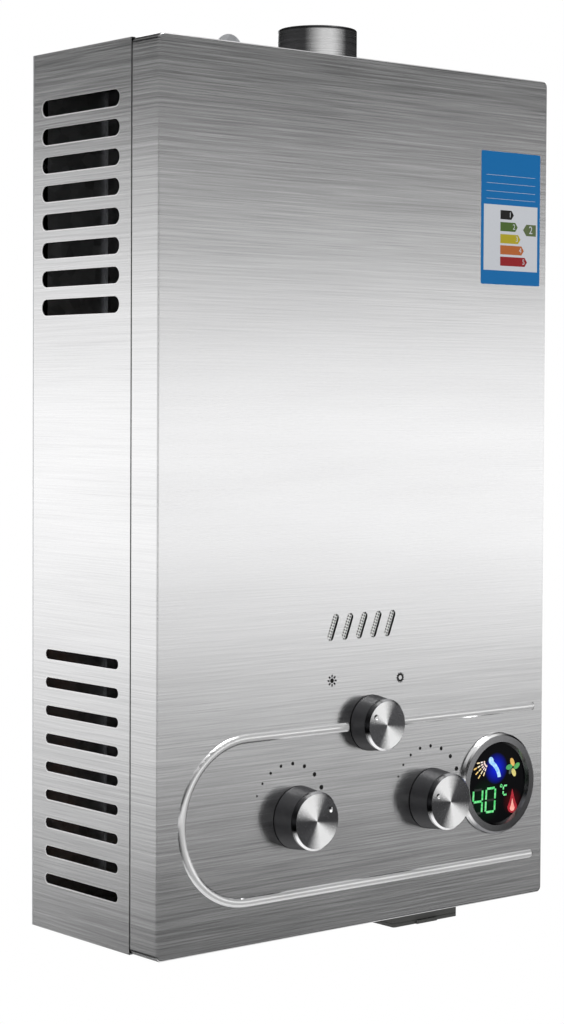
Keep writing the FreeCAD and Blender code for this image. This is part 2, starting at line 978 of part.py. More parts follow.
def hood_form(inset, low, high):
    """Outline of the smoke hood: straight below, tapered above."""
    half = chamber_half - inset
    front = chamber_front + inset
    rear = chamber_rear - inset
    shoulder = bottom + exchanger_top + hood_straight
    narrow = flue_radius + flue_flange - inset
    straight = box(-half, half, front, rear, low, shoulder)
    wide = rectangle(-half, half, front, rear, shoulder)
    neck_front = max(flue_y - narrow, chamber_front + inset)
    slim = rectangle(-narrow, narrow, neck_front, flue_y + narrow, high)
    taper = Part.makeLoft([wide, slim], True, True)
    return fuse([straight, taper])


def smoke_hood():
    """Hood over the exchanger with draught openings at the rear and a spigot for the collar."""
    low = bottom + exchanger_top
    high = bottom + hood_top_height
    shell = hood_form(0, low, high).cut(hood_form(sheet, low - 1, high - sheet))
    spigot_radius = flue_radius - sheet - flue_fit
    spigot_top = top - flue_insert / 2
    start = Vec(0, flue_y, high - sheet)
    spigot = rod(spigot_radius, start, Vec(0, flue_y, spigot_top))
    way = rod(spigot_radius - sheet, start - Vec(0, 0, 2 * sheet), Vec(0, flue_y, spigot_top + 1))
    half = hood_window_length / 2
    window_low = low + (hood_straight - hood_window_height) / 2
    window_high = window_low + hood_window_height
    draught = box(-half, half, chamber_rear - 2 * sheet, chamber_rear + sheet, window_low, window_high)
    return cut(fuse([shell, spigot]), [way, draught])


# Heat exchanger and chamber


def pass_ys():
    """Depth of each straight pass of the exchanger tube, front to rear."""
    middle = (chamber_front + chamber_rear) / 2
    return [middle + (index - (pass_count - 1) / 2) * pass_pitch for index in range(pass_count)]


def upright_form(inset, low, high):
    """Chamber's outline with its rounded upright corners."""
    half = chamber_half - inset
    body = box(-half, half, chamber_front + inset, chamber_rear - inset, low, high)
    upright = [line for line in body.Edges if abs(line.Vertexes[0].Z - line.Vertexes[1].Z) > sheet]
    return body.makeFillet(chamber_corner - inset, upright)


def combustion_chamber():
    """Copper box of the chamber and exchanger, with its lower flange and brackets to the back plate."""
    half = chamber_half
    high = bottom + exchanger_top
    wall = chamber_sheet
    outer = upright_form(0, frame_top, high)
    hollow = upright_form(wall, frame_top - wall, high + wall)
    out = flange_out
    front, rear = chamber_front - out, chamber_rear + out
    flange = box(-half - out, half + out, front, rear, frame_top, frame_top + wall)
    brackets = []
    half_bracket = bracket_width / 2
    plate_front = -back_sheet
    rib_front = plate_front - back_rib_depth
    for z in (frame_top + flange_out, bottom + exchanger_bottom):
        brackets.append(box(-half_bracket, half_bracket, chamber_rear - wall, plate_front, z, z + wall))
        z_top = z + flange_length
        for sign in (-1, 0, 1):
            x = sign * back_rib_spacing / 2
            left, right = x - back_rib_foot, x + back_rib_foot
            brackets.append(box(left, right, plate_front - wall, plate_front, z, z_top))
        for sign in (-1, 0, 1):
            x = sign * back_rib_spacing
            half_rib = back_rib_width / 2 + flue_fit
            relief = box(x - half_rib, x + half_rib, rib_front - flue_fit, 0, z - 1, z_top + 1)
            brackets = [solid.cut(relief) for solid in brackets]
    holes = []
    for y in pass_ys():
        start = Vec(-half - 1, y, bottom + pass_height)
        end = Vec(half + 1, y, bottom + pass_height)
        holes.append(rod(exchanger_tube_radius + braze_gap, start, end))
    body = cut(fuse([outer, flange]), [hollow] + holes)
    return fuse([body] + brackets)


def exchanger_fins():
    """Pack of thin fins on the tube passes."""
    wall = chamber_sheet
    low = bottom + exchanger_bottom
    high = bottom + exchanger_top
    first = -(fin_count - 1) * fin_pitch / 2 - fin_thickness / 2
    fin = box(first, first + fin_thickness, chamber_front + wall, chamber_rear - wall, low, high)
    for y in pass_ys():
        start = Vec(first - 1, y, bottom + pass_height)
        end = Vec(first + fin_thickness + 1, y, bottom + pass_height)
        fin = fin.cut(rod(exchanger_tube_radius + braze_gap, start, end))
    fins = []
    for index in range(fin_count):
        fins.append(fin.translated(Vec(index * fin_pitch, 0, 0)))
    return group(fins)


def exchanger_tubes():
    """One serpentine tube through the fins, from the right front to the left rear."""
    z = bottom + pass_height
    bend = pass_pitch / 2
    reach = chamber_half + exchanger_tube_radius + bend
    ys = pass_ys()
    points = [Vec(riser_x - pipe_bend, ys[0], z)]
    side = -1
    for y, following in zip(ys, ys[1:]):
        points.append(Vec(side * reach, y, z))
        points.append(Vec(side * reach, following, z))
        side = -side
    points.append(Vec(hot_x + pipe_bend, ys[-1], z))
    return bent_pipe(points, bend, exchanger_tube_radius, exchanger_tube_wall)


def coil_edges():
    """Centre lines of the coil beside the chamber's walls: right, front and rear."""
    reach = pipe_radius + coil_gap
    return chamber_half + reach, chamber_front - reach, chamber_rear + reach


def chamber_coil():
    """Pipe wound twice round the chamber, then up to the exchanger."""
    right, front, rear = coil_edges()
    z = bottom + coil_first_height
    rise = coil_climb
    exchanger_z = bottom + pass_height
    inlet_y = pass_ys()[0]
    points = [Vec(riser_x, rear, z - 2 * pipe_bend), Vec(riser_x, rear, z)]
    corners = ((-right, rear), (-right, front), (right, front), (right, rear))
    for turn in range(coil_turns):
        for index, (x, y) in enumerate(corners):
            step = turn * len(corners) + index + 1
            if turn == coil_turns - 1 and index == 2:
                points.append(Vec(riser_x, front, z + step * rise))
                break
            points.append(Vec(x, y, z + step * rise))
    points.append(Vec(riser_x, inlet_y, exchanger_z))
    points.append(Vec(riser_x - pipe_bend, inlet_y, exchanger_z))
    return bent_pipe(points, chamber_corner + coil_gap + pipe_radius, pipe_radius, pipe_wall)


def overheat_thermostat():
    """Thermostat button on the left wall of the exchanger."""
    z = bottom + thermostat_height
    y = pass_ys()[pass_count // 2] - pass_pitch / 2
    seat = Vec(-chamber_half, y, z)
    return rod(thermostat_radius, seat - Vec(thermostat_thickness, 0, 0), seat)


# Burner


def burner_frame():
    """Frame that holds the burner bars, with side plates down to the gas manifold."""
    half = chamber_half
    low = bottom + burner_bottom
    foot = bottom + burner_foot
    wall = chamber_sheet
    outer = box(-half, half, chamber_front, chamber_rear, low, frame_top)
    hollow = box(-half + wall, half - wall, chamber_front + wall, chamber_rear - wall, low - 1, frame_top + 1)
    out = flange_out
    front, rear = chamber_front - out, chamber_rear + out
    flange = box(-half - out, half + out, front, rear, frame_top - wall, frame_top)
    plates = [box(-half, -half + wall, chamber_front, chamber_rear, foot, frame_top)]
    plates.append(box(half - wall, half, chamber_front, chamber_rear, foot, frame_top))
    holes = []
    for x in electrode_xs:
        z = frame_top - electrode_above_frame
        start = Vec(x, front, z)
        holes.append(rod(electrode_radius + spindle_clearance, start, start + Vec(0, 2 * out, 0)))
    body = fuse([outer, flange] + plates)
    return cut(body, [hollow] + holes)


def burner_bars():
    """Row of burner bars, each with a venturi below and flame ports on top."""
    front = chamber_front + chamber_sheet
    rear = chamber_rear - chamber_sheet
    low = season_z - venturi_height / 2
    neck = bar_top - bar_top_depth
    outline = [
        (venturi_start, low),
        (rear, low),
        (rear, bar_top),
        (front, bar_top),
        (front, neck),
        (rear - bar_top_depth, neck),
        (rear - bar_top_depth, low + venturi_height),
        (venturi_start, low + venturi_height),
    ]
    first = -(bar_count - 1) * bar_pitch / 2 - bar_thickness / 2
    points = [Vec(first, y, z) for y, z in outline]
    bar = Part.Face(Part.makePolygon(points + points[:1])).extrude(Vec(bar_thickness, 0, 0))
    middle = first + bar_thickness / 2
    mouth_end = Vec(middle, rear - bar_top_depth / 2, season_z)
    mouth = rod(venturi_bore, Vec(middle, venturi_start, season_z), mouth_end)
    half_port = port_width / 2
    port = box(middle - half_port, middle + half_port, front + port_margin, rear - port_margin,
               bar_top - port_depth, bar_top)
    bar = cut(bar, [mouth, port])
    bars = []
    for index in range(bar_count):
        bars.append(bar.translated(Vec(index * bar_pitch, 0, 0)))
    return group(bars)


def gas_manifold():
    """Gas manifold between the frame's side plates, with the winter and summer valve in it."""
    half = chamber_half - chamber_sheet
    reach = manifold_size / 2
    front, rear = manifold_y - reach, manifold_y + reach
    body = box(-half, half, front, rear, season_z - reach, season_z + reach)
    boss_front = Vec(season_x, season_boss_front, season_z)
    boss = rod(season_boss_radius, boss_front, Vec(season_x, rear, season_z))
    gallery = rod(gas_way, Vec(-half + reach, manifold_y, season_z), Vec(half - reach, manifold_y, season_z))
    plug = season_plug_radius + shaft_clearance
    plug_rear = manifold_y + season_plug_rear + spindle_clearance
    bore = rod(plug, boss_front, Vec(season_x, plug_rear, season_z))
    feed_top = Vec(riser_gas_x, manifold_y, season_z)
    feed = rod(gas_way, feed_top - Vec(0, 0, reach), feed_top)
    return cut(fuse([body, boss]), [gallery, bore, feed])


def gas_injectors():
    """Brass injectors on the manifold, one before each bar's mouth."""
    seat = manifold_y + manifold_size / 2
    first = -(bar_count - 1) * bar_pitch / 2
    injectors = []
    for index in range(bar_count):
        x = first + index * bar_pitch
        start = Vec(x, seat, season_z)
        middle = start + Vec(0, injector_seat_length, 0)
        end = start + Vec(0, injector_length, 0)
        body = fuse([rod(injector_radius, start, middle), rod(injector_tip_radius, middle, end)])
        injectors.append(body.cut(rod(injector_orifice, start, end)))
    return group(injectors)


def season_plug():
    """Rotary plug of the winter and summer valve, on its knob's spindle."""
    shaft = spindle(season_x, season_z, season_knob_height, season_boss_front, spindle_radius)
    rear = manifold_y + season_plug_rear
    boss_front = Vec(season_x, season_boss_front, season_z)
    plug = rod(season_plug_radius, boss_front, Vec(season_x, rear, season_z))
    middle = Vec(season_x, manifold_y, season_z)
    reach = Vec(2 * season_plug_radius, 0, 0)
    way = rod(season_bore, middle - reach, middle + reach)
    return fuse([shaft, plug]).cut(way)


# Gas valve


def gas_valve_body():
    """Cast gas valve: inlet from below, rotary plug, poppet chamber and outlet on top."""
    low, high = control_z - valve_half_height, control_z + valve_half_height
    body = box(gas_left, gas_right, valve_front, valve_rear, low, high)
    edges = [line for line in body.Edges if abs(line.Vertexes[0].Y - line.Vertexes[1].Y) > sheet]
    body = body.makeFillet(corner_radius, edges)
    nose = rod(neck_radius, Vec(gas_right - 1, linkage_y, control_z),
               Vec(gas_right + neck_length, linkage_y, control_z))
    x = knob_x_gas
    chamber_start = Vec(poppet_left, linkage_y, control_z)
    plug = gas_plug_radius + shaft_clearance
    spindle_way = spindle_radius + shaft_clearance
    tools = [
        rod(gas_way, Vec(x, connection_y, low), Vec(x, connection_y, control_z)),
        rod(gas_way, Vec(x, gas_plug_rear, control_z), Vec(x, connection_y, control_z)),
        rod(plug, Vec(x, gas_plug_front, control_z), Vec(x, gas_plug_rear, control_z)),
        rod(spindle_way, Vec(x, valve_front, control_z), Vec(x, gas_plug_front, control_z)),
        rod(gas_way, Vec(x, linkage_y, control_z), chamber_start),
        rod(poppet_chamber_radius, chamber_start, Vec(poppet_seat, linkage_y, control_z)),
        rod(poppet_way, chamber_start, Vec(gas_right - 2, linkage_y, control_z)),
        rod(gas_way, Vec(riser_gas_x, linkage_y, control_z), Vec(riser_gas_x, linkage_y, high)),
        rod(push_rod_radius + shaft_clearance, Vec(poppet_seat, linkage_y, control_z),
            Vec(gas_right + neck_length, linkage_y, control_z)),
    ]
    return cut(fuse([body, nose]), tools)


def gas_plug():
    """Rotary plug of the gas valve on its knob's spindle."""
    x = knob_x_gas
    shaft = spindle(x, control_z, knob_height, gas_plug_front, spindle_radius)
    body = rod(gas_plug_radius, Vec(x, gas_plug_front, control_z), Vec(x, gas_plug_rear, control_z))
    reach = 2 * gas_plug_radius
    across = rod(gas_plug_way, Vec(x, linkage_y, control_z), Vec(x + reach, linkage_y, control_z))
    inlet = rod(gas_plug_way, Vec(x, linkage_y, control_z), Vec(x, gas_plug_rear, control_z))
    return cut(fuse([shaft, body]), [across, inlet])


def gas_solenoid():
    """Coil that holds the safety valve open, on the left of the gas valve."""
    seat = Vec(gas_left, linkage_y, control_z)
    end = seat - Vec(solenoid_length, 0, 0)
    core = rod(solenoid_waist_radius, end - Vec(solenoid_cap, 0, 0), seat)
    winding = rod(solenoid_radius, end, seat - Vec(solenoid_gap, 0, 0))
    collar = rod(solenoid_collar_radius, seat - Vec(solenoid_collar, 0, 0), seat)
    return fuse([core, winding, collar])


def gas_poppet():
    """Poppet that the push rod lifts off its seat."""
    disc = poppet_seat - poppet_gap
    front = disc - poppet_thickness
    body = rod(poppet_radius, Vec(front, linkage_y, control_z), Vec(disc, linkage_y, control_z))
    stem = rod(poppet_stem_radius, Vec(front - poppet_thickness, linkage_y, control_z),
               Vec(front, linkage_y, control_z))
    return fuse([body, stem])


def poppet_spring():
    """Spring that closes the poppet."""
    tail = poppet_seat - poppet_gap - poppet_thickness - spring_wire - spindle_clearance
    start = Vec(poppet_left + spring_wire + spindle_clearance, linkage_y, control_z)
    length = tail - start.x
    reach = poppet_way + 2 * spring_wire
    return coil(start, Vec(1, 0, 0), Vec(0, 1, 0), reach, reach, length,
                spring_turns, spring_wire, "poppet spring")


def gas_riser():
    """Pipe from the gas valve up to the manifold."""
    low = control_z + valve_half_height
    high = season_z - manifold_size / 2
    points = [
        Vec(riser_gas_x, linkage_y, low),
        Vec(riser_gas_x, linkage_y, low + riser_straight),
        Vec(riser_gas_x, manifold_y, high - riser_straight),
        Vec(riser_gas_x, manifold_y, high),
    ]
    return bent_pipe(points, pipe_radius, pipe_radius, pipe_wall)


# Water valve


def water_valve_body():
    """Cast water valve: inlet from below, needle bore, outlet at the right and half of the diaphragm case."""
    low, high = control_z - valve_half_height, control_z + valve_half_height
    body = box(water_left, water_right, valve_front, valve_rear, low, high)
    edges = [line for line in body.Edges if abs(line.Vertexes[0].Y - line.Vertexes[1].Y) > sheet]
    body = body.makeFillet(corner_radius, edges)
    case_left = diaphragm_x + diaphragm_thickness
    case_start = Vec(case_left, linkage_y, control_z)
    case = rod(bell_radius, case_start, Vec(water_left + sheet, linkage_y, control_z))
    x = knob_x_water
    needle = needle_radius + shaft_clearance
    spindle_way = spindle_radius + shaft_clearance
    drain = Vec(drain_x, connection_y, low)
    tip = needle_stations()[-1]
    seat = tip + needle_play
    bore_front = needle_front - needle_travel - needle_play
    tools = [
        rod(bell_hollow_radius, case_start, Vec(water_left - bell_wall, linkage_y, control_z)),
        rod(water_way, Vec(x, connection_y, low), Vec(x, connection_y, control_z)),
        rod(needle_seat_radius, Vec(x, seat, control_z), Vec(x, connection_y, control_z)),
        rod(needle, Vec(x, bore_front, control_z), Vec(x, seat, control_z)),
        rod(spindle_way, Vec(x, valve_front, control_z), Vec(x, needle_front, control_z)),
        rod(water_outlet_radius, Vec(x, linkage_y, control_z), Vec(water_right, linkage_y, control_z)),
        rod(pressure_way, case_start, Vec(x, linkage_y, control_z)),
        rod(drain_thread_radius, drain, drain + Vec(0, 0, drain_bore_depth)),
    ]
    for place in flange_screw_places(case_left):
        tools.append(rod(flange_screw_radius + spindle_clearance, place, place + Vec(bell_wall * 2, 0, 0)))
    return cut(fuse([body, case]), tools)


def flange_screw_places(x):
    """Screw centres round the diaphragm case at one station along X."""
    places = []
    for index in range(flange_screw_count):
        angle = 2 * math.pi * (index + 0.5) / flange_screw_count
        y = linkage_y + flange_screw_circle * math.cos(angle)
        z = control_z + flange_screw_circle * math.sin(angle)
        places.append(Vec(x, y, z))
    return places


def water_valve_cover():
    """Bell-shaped cover of the diaphragm case with the guide of the push rod."""
    start = Vec(bell_left, linkage_y, control_z)
    end = Vec(diaphragm_x, linkage_y, control_z)
    body = rod(bell_radius, Vec(diaphragm_x - bell_wall, linkage_y, control_z), end)
    dome = rod(bell_dome_radius, start, end)
    neck = rod(neck_radius, start - Vec(neck_length, 0, 0), end)
    hollow = rod(bell_hollow_radius, start + Vec(bell_wall, 0, 0), end)
    guide = rod(push_rod_radius + shaft_clearance, start - Vec(neck_length, 0, 0), end)
    tools = [hollow, guide]
    for place in flange_screw_places(diaphragm_x - bell_wall):
        tools.append(rod(flange_screw_radius + spindle_clearance, place, place + Vec(bell_wall, 0, 0)))
    return cut(fuse([body, dome, neck]), tools)


def diaphragm():
    """Rubber disc clamped between the two halves of the case."""
    start = Vec(diaphragm_x, linkage_y, control_z)
    disc = rod(bell_radius, start, start + Vec(diaphragm_thickness, 0, 0))
    tools = []
    through = Vec(diaphragm_thickness, 0, 0)
    for place in flange_screw_places(diaphragm_x):
        tools.append(rod(flange_screw_radius + spindle_clearance, place, place + through))
    return cut(disc, tools)


def diaphragm_screws():
    """Screws through the rim of the diaphragm case."""
    screws = []
    reach = Vec(bell_wall + diaphragm_thickness + 2 * bell_wall, 0, 0)
    for place in flange_screw_places(diaphragm_x - bell_wall):
        head = rod(flange_screw_head, place - Vec(screw_head_height, 0, 0), place)
        shank = rod(flange_screw_radius, place, place + reach)
        screws.append(fuse([head, shank]))
    return group(screws)


def push_rod():
    """Rod and plate that the diaphragm pushes towards the gas valve."""
    plate_left = diaphragm_x - plate_thickness
    plate = rod(plate_radius, Vec(plate_left, linkage_y, control_z), Vec(diaphragm_x, linkage_y, control_z))
    tip = Vec(poppet_seat, linkage_y, control_z)
    body = rod(push_rod_radius, tip, Vec(diaphragm_x, linkage_y, control_z))
    collar_right = switch_x - lever_thickness / 2 - lip_clearance
    collar = rod(collar_radius, Vec(collar_right - collar_width, linkage_y, control_z),
                 Vec(collar_right, linkage_y, control_z))
    return fuse([plate, body, collar])


def needle_stations():
    """Places of the needle along Y: socket floor, shoulder, cone and tip."""
    floor = needle_front + needle_socket
    shoulder = floor + needle_socket_floor
    cone = shoulder + needle_stem
    return floor, shoulder, cone, cone + needle_tip


def water_needle():
    """Needle whose socket the spindle's thread drives, with a thin stem and a cone before its seat."""
    x = knob_x_water
    floor, shoulder, cone = needle_stations()[:3]
    body = rod(needle_radius, Vec(x, needle_front, control_z), Vec(x, shoulder, control_z))
    stem = rod(needle_stem_radius, Vec(x, shoulder, control_z), Vec(x, cone, control_z))
    point = Part.makeCone(needle_stem_radius, needle_tip_radius, needle_tip,
                          Vec(x, cone, control_z), Vec(0, 1, 0))
    socket = rod(spindle_radius + shaft_clearance, Vec(x, needle_front, control_z), Vec(x, floor, control_z))
    return fuse([body, stem, point]).cut(socket)


def water_spindle():
    """Spindle of the water knob, screwed into the needle's socket."""
    floor = needle_stations()[0]
    return spindle(knob_x_water, control_z, knob_height, floor - needle_travel - needle_play, spindle_radius)


def drain_valve():
    """Drain and relief valve screwed into the water valve from below."""
    low = bottom - drain_drop
    start = Vec(drain_x, connection_y, low)
    seat = Vec(drain_x, connection_y, control_z - valve_half_height)
    head = rod(drain_head_radius, start, start + Vec(0, 0, drain_head_height))
    body = rod(drain_radius, start, seat)
    thread = rod(drain_thread_radius - spindle_clearance, start, seat + Vec(0, 0, drain_thread_length))
    circle = drain_head_radius + drain_grip_out
    grips = []
    for index in range(drain_grip_count):
        angle = 2 * math.pi * index / drain_grip_count
        x = drain_x + circle * math.cos(angle)
        y = connection_y + circle * math.sin(angle)
        grips.append(rod(drain_grip_radius, Vec(x, y, low - 1), Vec(x, y, low + drain_head_height + 1)))
    return cut(fuse([head, body, thread]), grips)


# Water-flow switch


def switch_floor():
    """Height of the switch's underside."""
    return control_z + neck_radius + switch_lift


def lever_pin_z():
    """Height of the lever's pin."""
    return switch_floor() - lever_eye - lip_clearance


def flow_switch():
    """Small switch over the push rod, with its lever pin and a bracket on the gas valve."""
    low = switch_floor()
    half = switch_width / 2
    half_depth = switch_depth / 2
    front, rear = linkage_y - half_depth, linkage_y + half_depth
    body = box(switch_x - half, switch_x + half, front, rear, low, low + switch_height)
    arm_z = low + switch_arm_rise
    thick = 2 * sheet
    arm = box(gas_right, switch_x - half, front, rear, arm_z, arm_z + thick)
    foot = box(gas_right, gas_right + thick, front, rear, control_z + neck_radius + sheet, arm_z)
    pin_z = lever_pin_z()
    pin = rod(lever_pin_radius, Vec(switch_x, front, pin_z), Vec(switch_x, rear, pin_z))
    ears = []
    for sign in (-1, 1):
        y = linkage_y + sign * (half_depth - sheet / 2)
        ears.append(box(switch_x - lever_eye, switch_x + lever_eye, y - sheet / 2, y + sheet / 2,
                        pin_z - lever_eye, low))
    return fuse([body, arm, foot, pin] + ears)


def switch_lever():
    """Lever that hangs on the switch's pin and follows the push rod's collar."""
    pin_z = lever_pin_z()
    half = lever_width / 2
    thick = lever_thickness / 2
    front, rear = linkage_y - half, linkage_y + half
    arm = box(switch_x - thick, switch_x + thick, front, rear, pin_z - lever_length, pin_z)
    eye = rod(lever_eye, Vec(switch_x, front, pin_z), Vec(switch_x, rear, pin_z))
    hole = rod(lever_pin_radius + spindle_clearance, Vec(switch_x, front, pin_z), Vec(switch_x, rear, pin_z))
    return fuse([arm, eye]).cut(hole)


# Connections and pipes


def connection_places():
    """Centres of the gas inlet, cold inlet and hot outlet."""
    return [(knob_x_gas, connection_y), (knob_x_water, connection_y), (hot_x, hot_y)]


def hexagon(x, y, across, low, high):
    """Hexagonal prism."""
    sides = 6
    reach = across / 2 / math.cos(math.pi / sides)
    points = []
    for index in range(sides):
        angle = 2 * math.pi * index / sides
        points.append(Vec(x + reach * math.cos(angle), y + reach * math.sin(angle), low))
    return Part.Face(Part.makePolygon(points + points[:1])).extrude(Vec(0, 0, high - low))


def connection(x, y, bore, end):
    """Threaded nipple through the bottom plate, with a collar on the plate and a relief below its nut."""
    low = bottom - connection_drop
    body = rod(thread_radius, Vec(x, y, low), Vec(x, y, end))
    collar = hexagon(x, y, hex_across, bottom + sheet, bottom + sheet + collar_height)
    relief_top = Vec(x, y, bottom - nut_height)
    relief = pipe(thread_radius, thread_radius - relief_depth, relief_top - Vec(0, 0, relief_width), relief_top)
    return fuse([body, collar]).cut(relief).cut(rod(bore, Vec(x, y, low), Vec(x, y, end)))


def connection_nuts():
    """Lock nuts under the bottom plate."""
    nuts = []
    for x, y in connection_places():
        nut = hexagon(x, y, hex_across, bottom - nut_height, bottom)
        hole = rod(thread_radius + spindle_clearance, Vec(x, y, bottom - nut_height), Vec(x, y, bottom))
        nuts.append(nut.cut(hole))
    return group(nuts)


def supply_pipe():
    """Pipe from the water valve round to the chamber coil."""
    rear = coil_edges()[2]
    points = [
        Vec(water_right, linkage_y, control_z),
        Vec(riser_x, linkage_y, control_z),
        Vec(riser_x, rear, control_z + pipe_bend),
        Vec(riser_x, rear, bottom + coil_first_height - 2 * pipe_bend),
    ]
    return bent_pipe(points, pipe_end_bend, pipe_radius, pipe_wall)


def hot_pipe():
    """Pipe from the exchanger down to the hot outlet."""
    z = bottom + pass_height
    points = [
        Vec(hot_x + pipe_bend, pass_ys()[-1], z),
        Vec(hot_x, pass_ys()[-1], z),
        Vec(hot_x, hot_y, bottom + hot_spigot),
    ]
    return bent_pipe(points, pipe_end_bend, pipe_radius, pipe_wall)


# Ignition


def electrodes():
    """Two spark electrodes and one flame sensor, each a ceramic stem with a wire tip and a clamp plate."""
    pieces = []
    z = frame_top - electrode_above_frame
    for x in electrode_xs:
        start = Vec(x, chamber_front - electrode_radius, z)
        end = start + Vec(0, electrode_length, 0)
        elbow = end + Vec(0, electrode_reach, 0)
        stem = rod(electrode_radius, start, end)
        wire = rod(electrode_wire, end, elbow)
        tip = rod(electrode_wire, elbow, elbow - Vec(0, 0, electrode_drop))
        half = electrode_radius + electrode_plate
        front = chamber_front - electrode_plate
        plate = box(x - 2 * half, x + 2 * half, front, chamber_front, z - half, z + half)
        pieces.append(fuse([stem, plate, wire, tip, Part.makeSphere(electrode_wire, elbow)]))
    return group(pieces)


def electrode_leads():
    """Leads from the electrodes to the igniter box, held in free loops before the burner."""
    start = chamber_front - electrode_radius
    z = frame_top - electrode_above_frame
    port = bottom + igniter_bottom
    routes = {
        "spark lead": [
            Vec(electrode_xs[2], start, z),
            Vec(electrode_xs[2], start - 12, z),
            Vec(electrode_xs[2] + 1, start - 12.5, z - 22),
            Vec(electrode_xs[2] + 7, start - 11, z - 60),
            Vec(electrode_xs[2] + 35, start - 7, z - 80),
            Vec(electrode_xs[2] + 75, start + 10, z - 76),
            Vec(electrode_xs[2] + 112, start + 37, z - 51),
            Vec(inner - 18, start + 52, port - 24),
            Vec(inner - 18, start + 52, port),
        ],
        "earth lead": [
            Vec(electrode_xs[1], start, z),
            Vec(electrode_xs[1], start - 12, z),
            Vec(electrode_xs[1] + 1, start - 12.5, z - 22),
            Vec(electrode_xs[1] + 9, start - 11, z - 52),
            Vec(electrode_xs[1] + 38, start - 9, z - 73),
            Vec(electrode_xs[1] + 80, start + 8, z - 87),
            Vec(electrode_xs[1] + 122, start + 32, z - 66),
            Vec(inner - 10, start + 45, port - 28),
            Vec(inner - 10, start + 45, port),
        ],
        "sensor lead": [
            Vec(electrode_xs[0], start, z),
            Vec(electrode_xs[0], start - 12, z),
            Vec(electrode_xs[0] + 2, start - 12.5, z - 22),
            Vec(electrode_xs[0] + 12, start - 12, z - 55),
            Vec(electrode_xs[0] + 48, start - 10, z - 66),
            Vec(electrode_xs[0] + 98, start - 9, z - 72),
            Vec(electrode_xs[0] + 150, start - 7, z - 92),
            Vec(electrode_xs[0] + 196, start - 2, z - 108),
            Vec(electrode_xs[0] + 234, start + 34, z - 92),
            Vec(electrode_xs[0] + 249, start + 69, z - 52),
            Vec(electrode_xs[0] + 249, start + 69, port),
        ],
    }
    return group([lead(points, name) for name, points in routes.items()])


def igniter_box():
    """Moulded box of the spark igniter on the right side panel."""
    low = bottom + igniter_bottom
    rear = igniter_front + igniter_depth
    body = box(inner - igniter_width, inner, igniter_front, rear, low, low + igniter_height)
    edges = [line for line in body.Edges if abs(line.Vertexes[0].Z - line.Vertexes[1].Z) > sheet]
    near = [line for line in edges if line.Vertexes[0].X < inner - sheet]
    return body.makeFillet(battery_wall, near)


# Battery box


def battery_outline():
    """Outside of the battery case seen from above."""
    half = 2 * cell_radius + 1.5 * cell_gap + battery_wall
    front = face + battery_setback
    depth = 2 * (cell_radius + cell_gap + battery_wall)
    return battery_x - half, battery_x + half, front, front + depth


def cell_places():
    """Centres of the two cells."""
    y0, y1 = battery_outline()[2:]
    spread = cell_radius + cell_gap / 2
    return [Vec(battery_x - spread, (y0 + y1) / 2, 0), Vec(battery_x + spread, (y0 + y1) / 2, 0)]


def door_line():
    """Height of the door's upper face."""
    return bottom - battery_drop + door_thickness


def battery_roof():
    """Height of the case's inner top."""
    return door_line() + door_gap + cell_height + contact_length


def battery_case():
    """Case of the cells, open below, with a rim under the bottom plate and hinge knuckles at the rear."""
    x0, x1, y0, y1 = battery_outline()
    low = door_line() + door_gap
    roof = battery_roof()
    body = box(x0, x1, y0, y1, low, roof + battery_wall)
    upright = [line for line in body.Edges if abs(line.Vertexes[0].Z - line.Vertexes[1].Z) > sheet]
    body = body.makeFillet(battery_wall, upright)
    rim = battery_rim
    rim_plate = box(x0 - rim, x1 + rim, y0 - rim, y1 + rim, bottom - battery_wall, bottom)
    wall = battery_wall
    hollow = box(x0 + wall, x1 - wall, y0 + wall, y1 - wall, low - 1, roof)
    pin = hinge_pin_place()
    knuckles = []
    for sign in (-1, 1):
        centre = battery_x + sign * (x1 - x0) / 4
        reach = hinge_knuckle_length / 2 + hinge_knuckle_length + door_gap
        inside = hinge_knuckle_length / 2 + door_gap
        for side in (-1, 1):
            a, b = sorted((centre + side * inside, centre + side * (reach - hinge_knuckle_length / 2)))
            knuckles.append(rod(hinge_knuckle_radius, Vec(a, pin.y, pin.z), Vec(b, pin.y, pin.z)))
            low_edge, high_edge = pin.z - hinge_knuckle_radius, pin.z + hinge_knuckle_radius
            knuckles.append(box(a, b, y1 - wall, pin.y, low_edge, high_edge))
    bore = rod(hinge_pin_radius + spindle_clearance, Vec(x0 - 1, pin.y, pin.z), Vec(x1 + 1, pin.y, pin.z))
    return cut(fuse([body, rim_plate] + knuckles), [hollow, bore])


def hinge_pin_place():
    """Point on the door's hinge line, behind the case."""
    y1 = battery_outline()[3]
    return Vec(battery_x, y1 + hinge_knuckle_radius + door_gap, door_line() + door_gap + hinge_knuckle_radius)


def battery_hinge_pin():
    """Pin through the knuckles of the case and the door."""
    x0, x1 = battery_outline()[:2]
    pin = hinge_pin_place()
    left, right = x0 + hinge_pin_inset, x1 - hinge_pin_inset
    return rod(hinge_pin_radius, Vec(left, pin.y, pin.z), Vec(right, pin.y, pin.z))


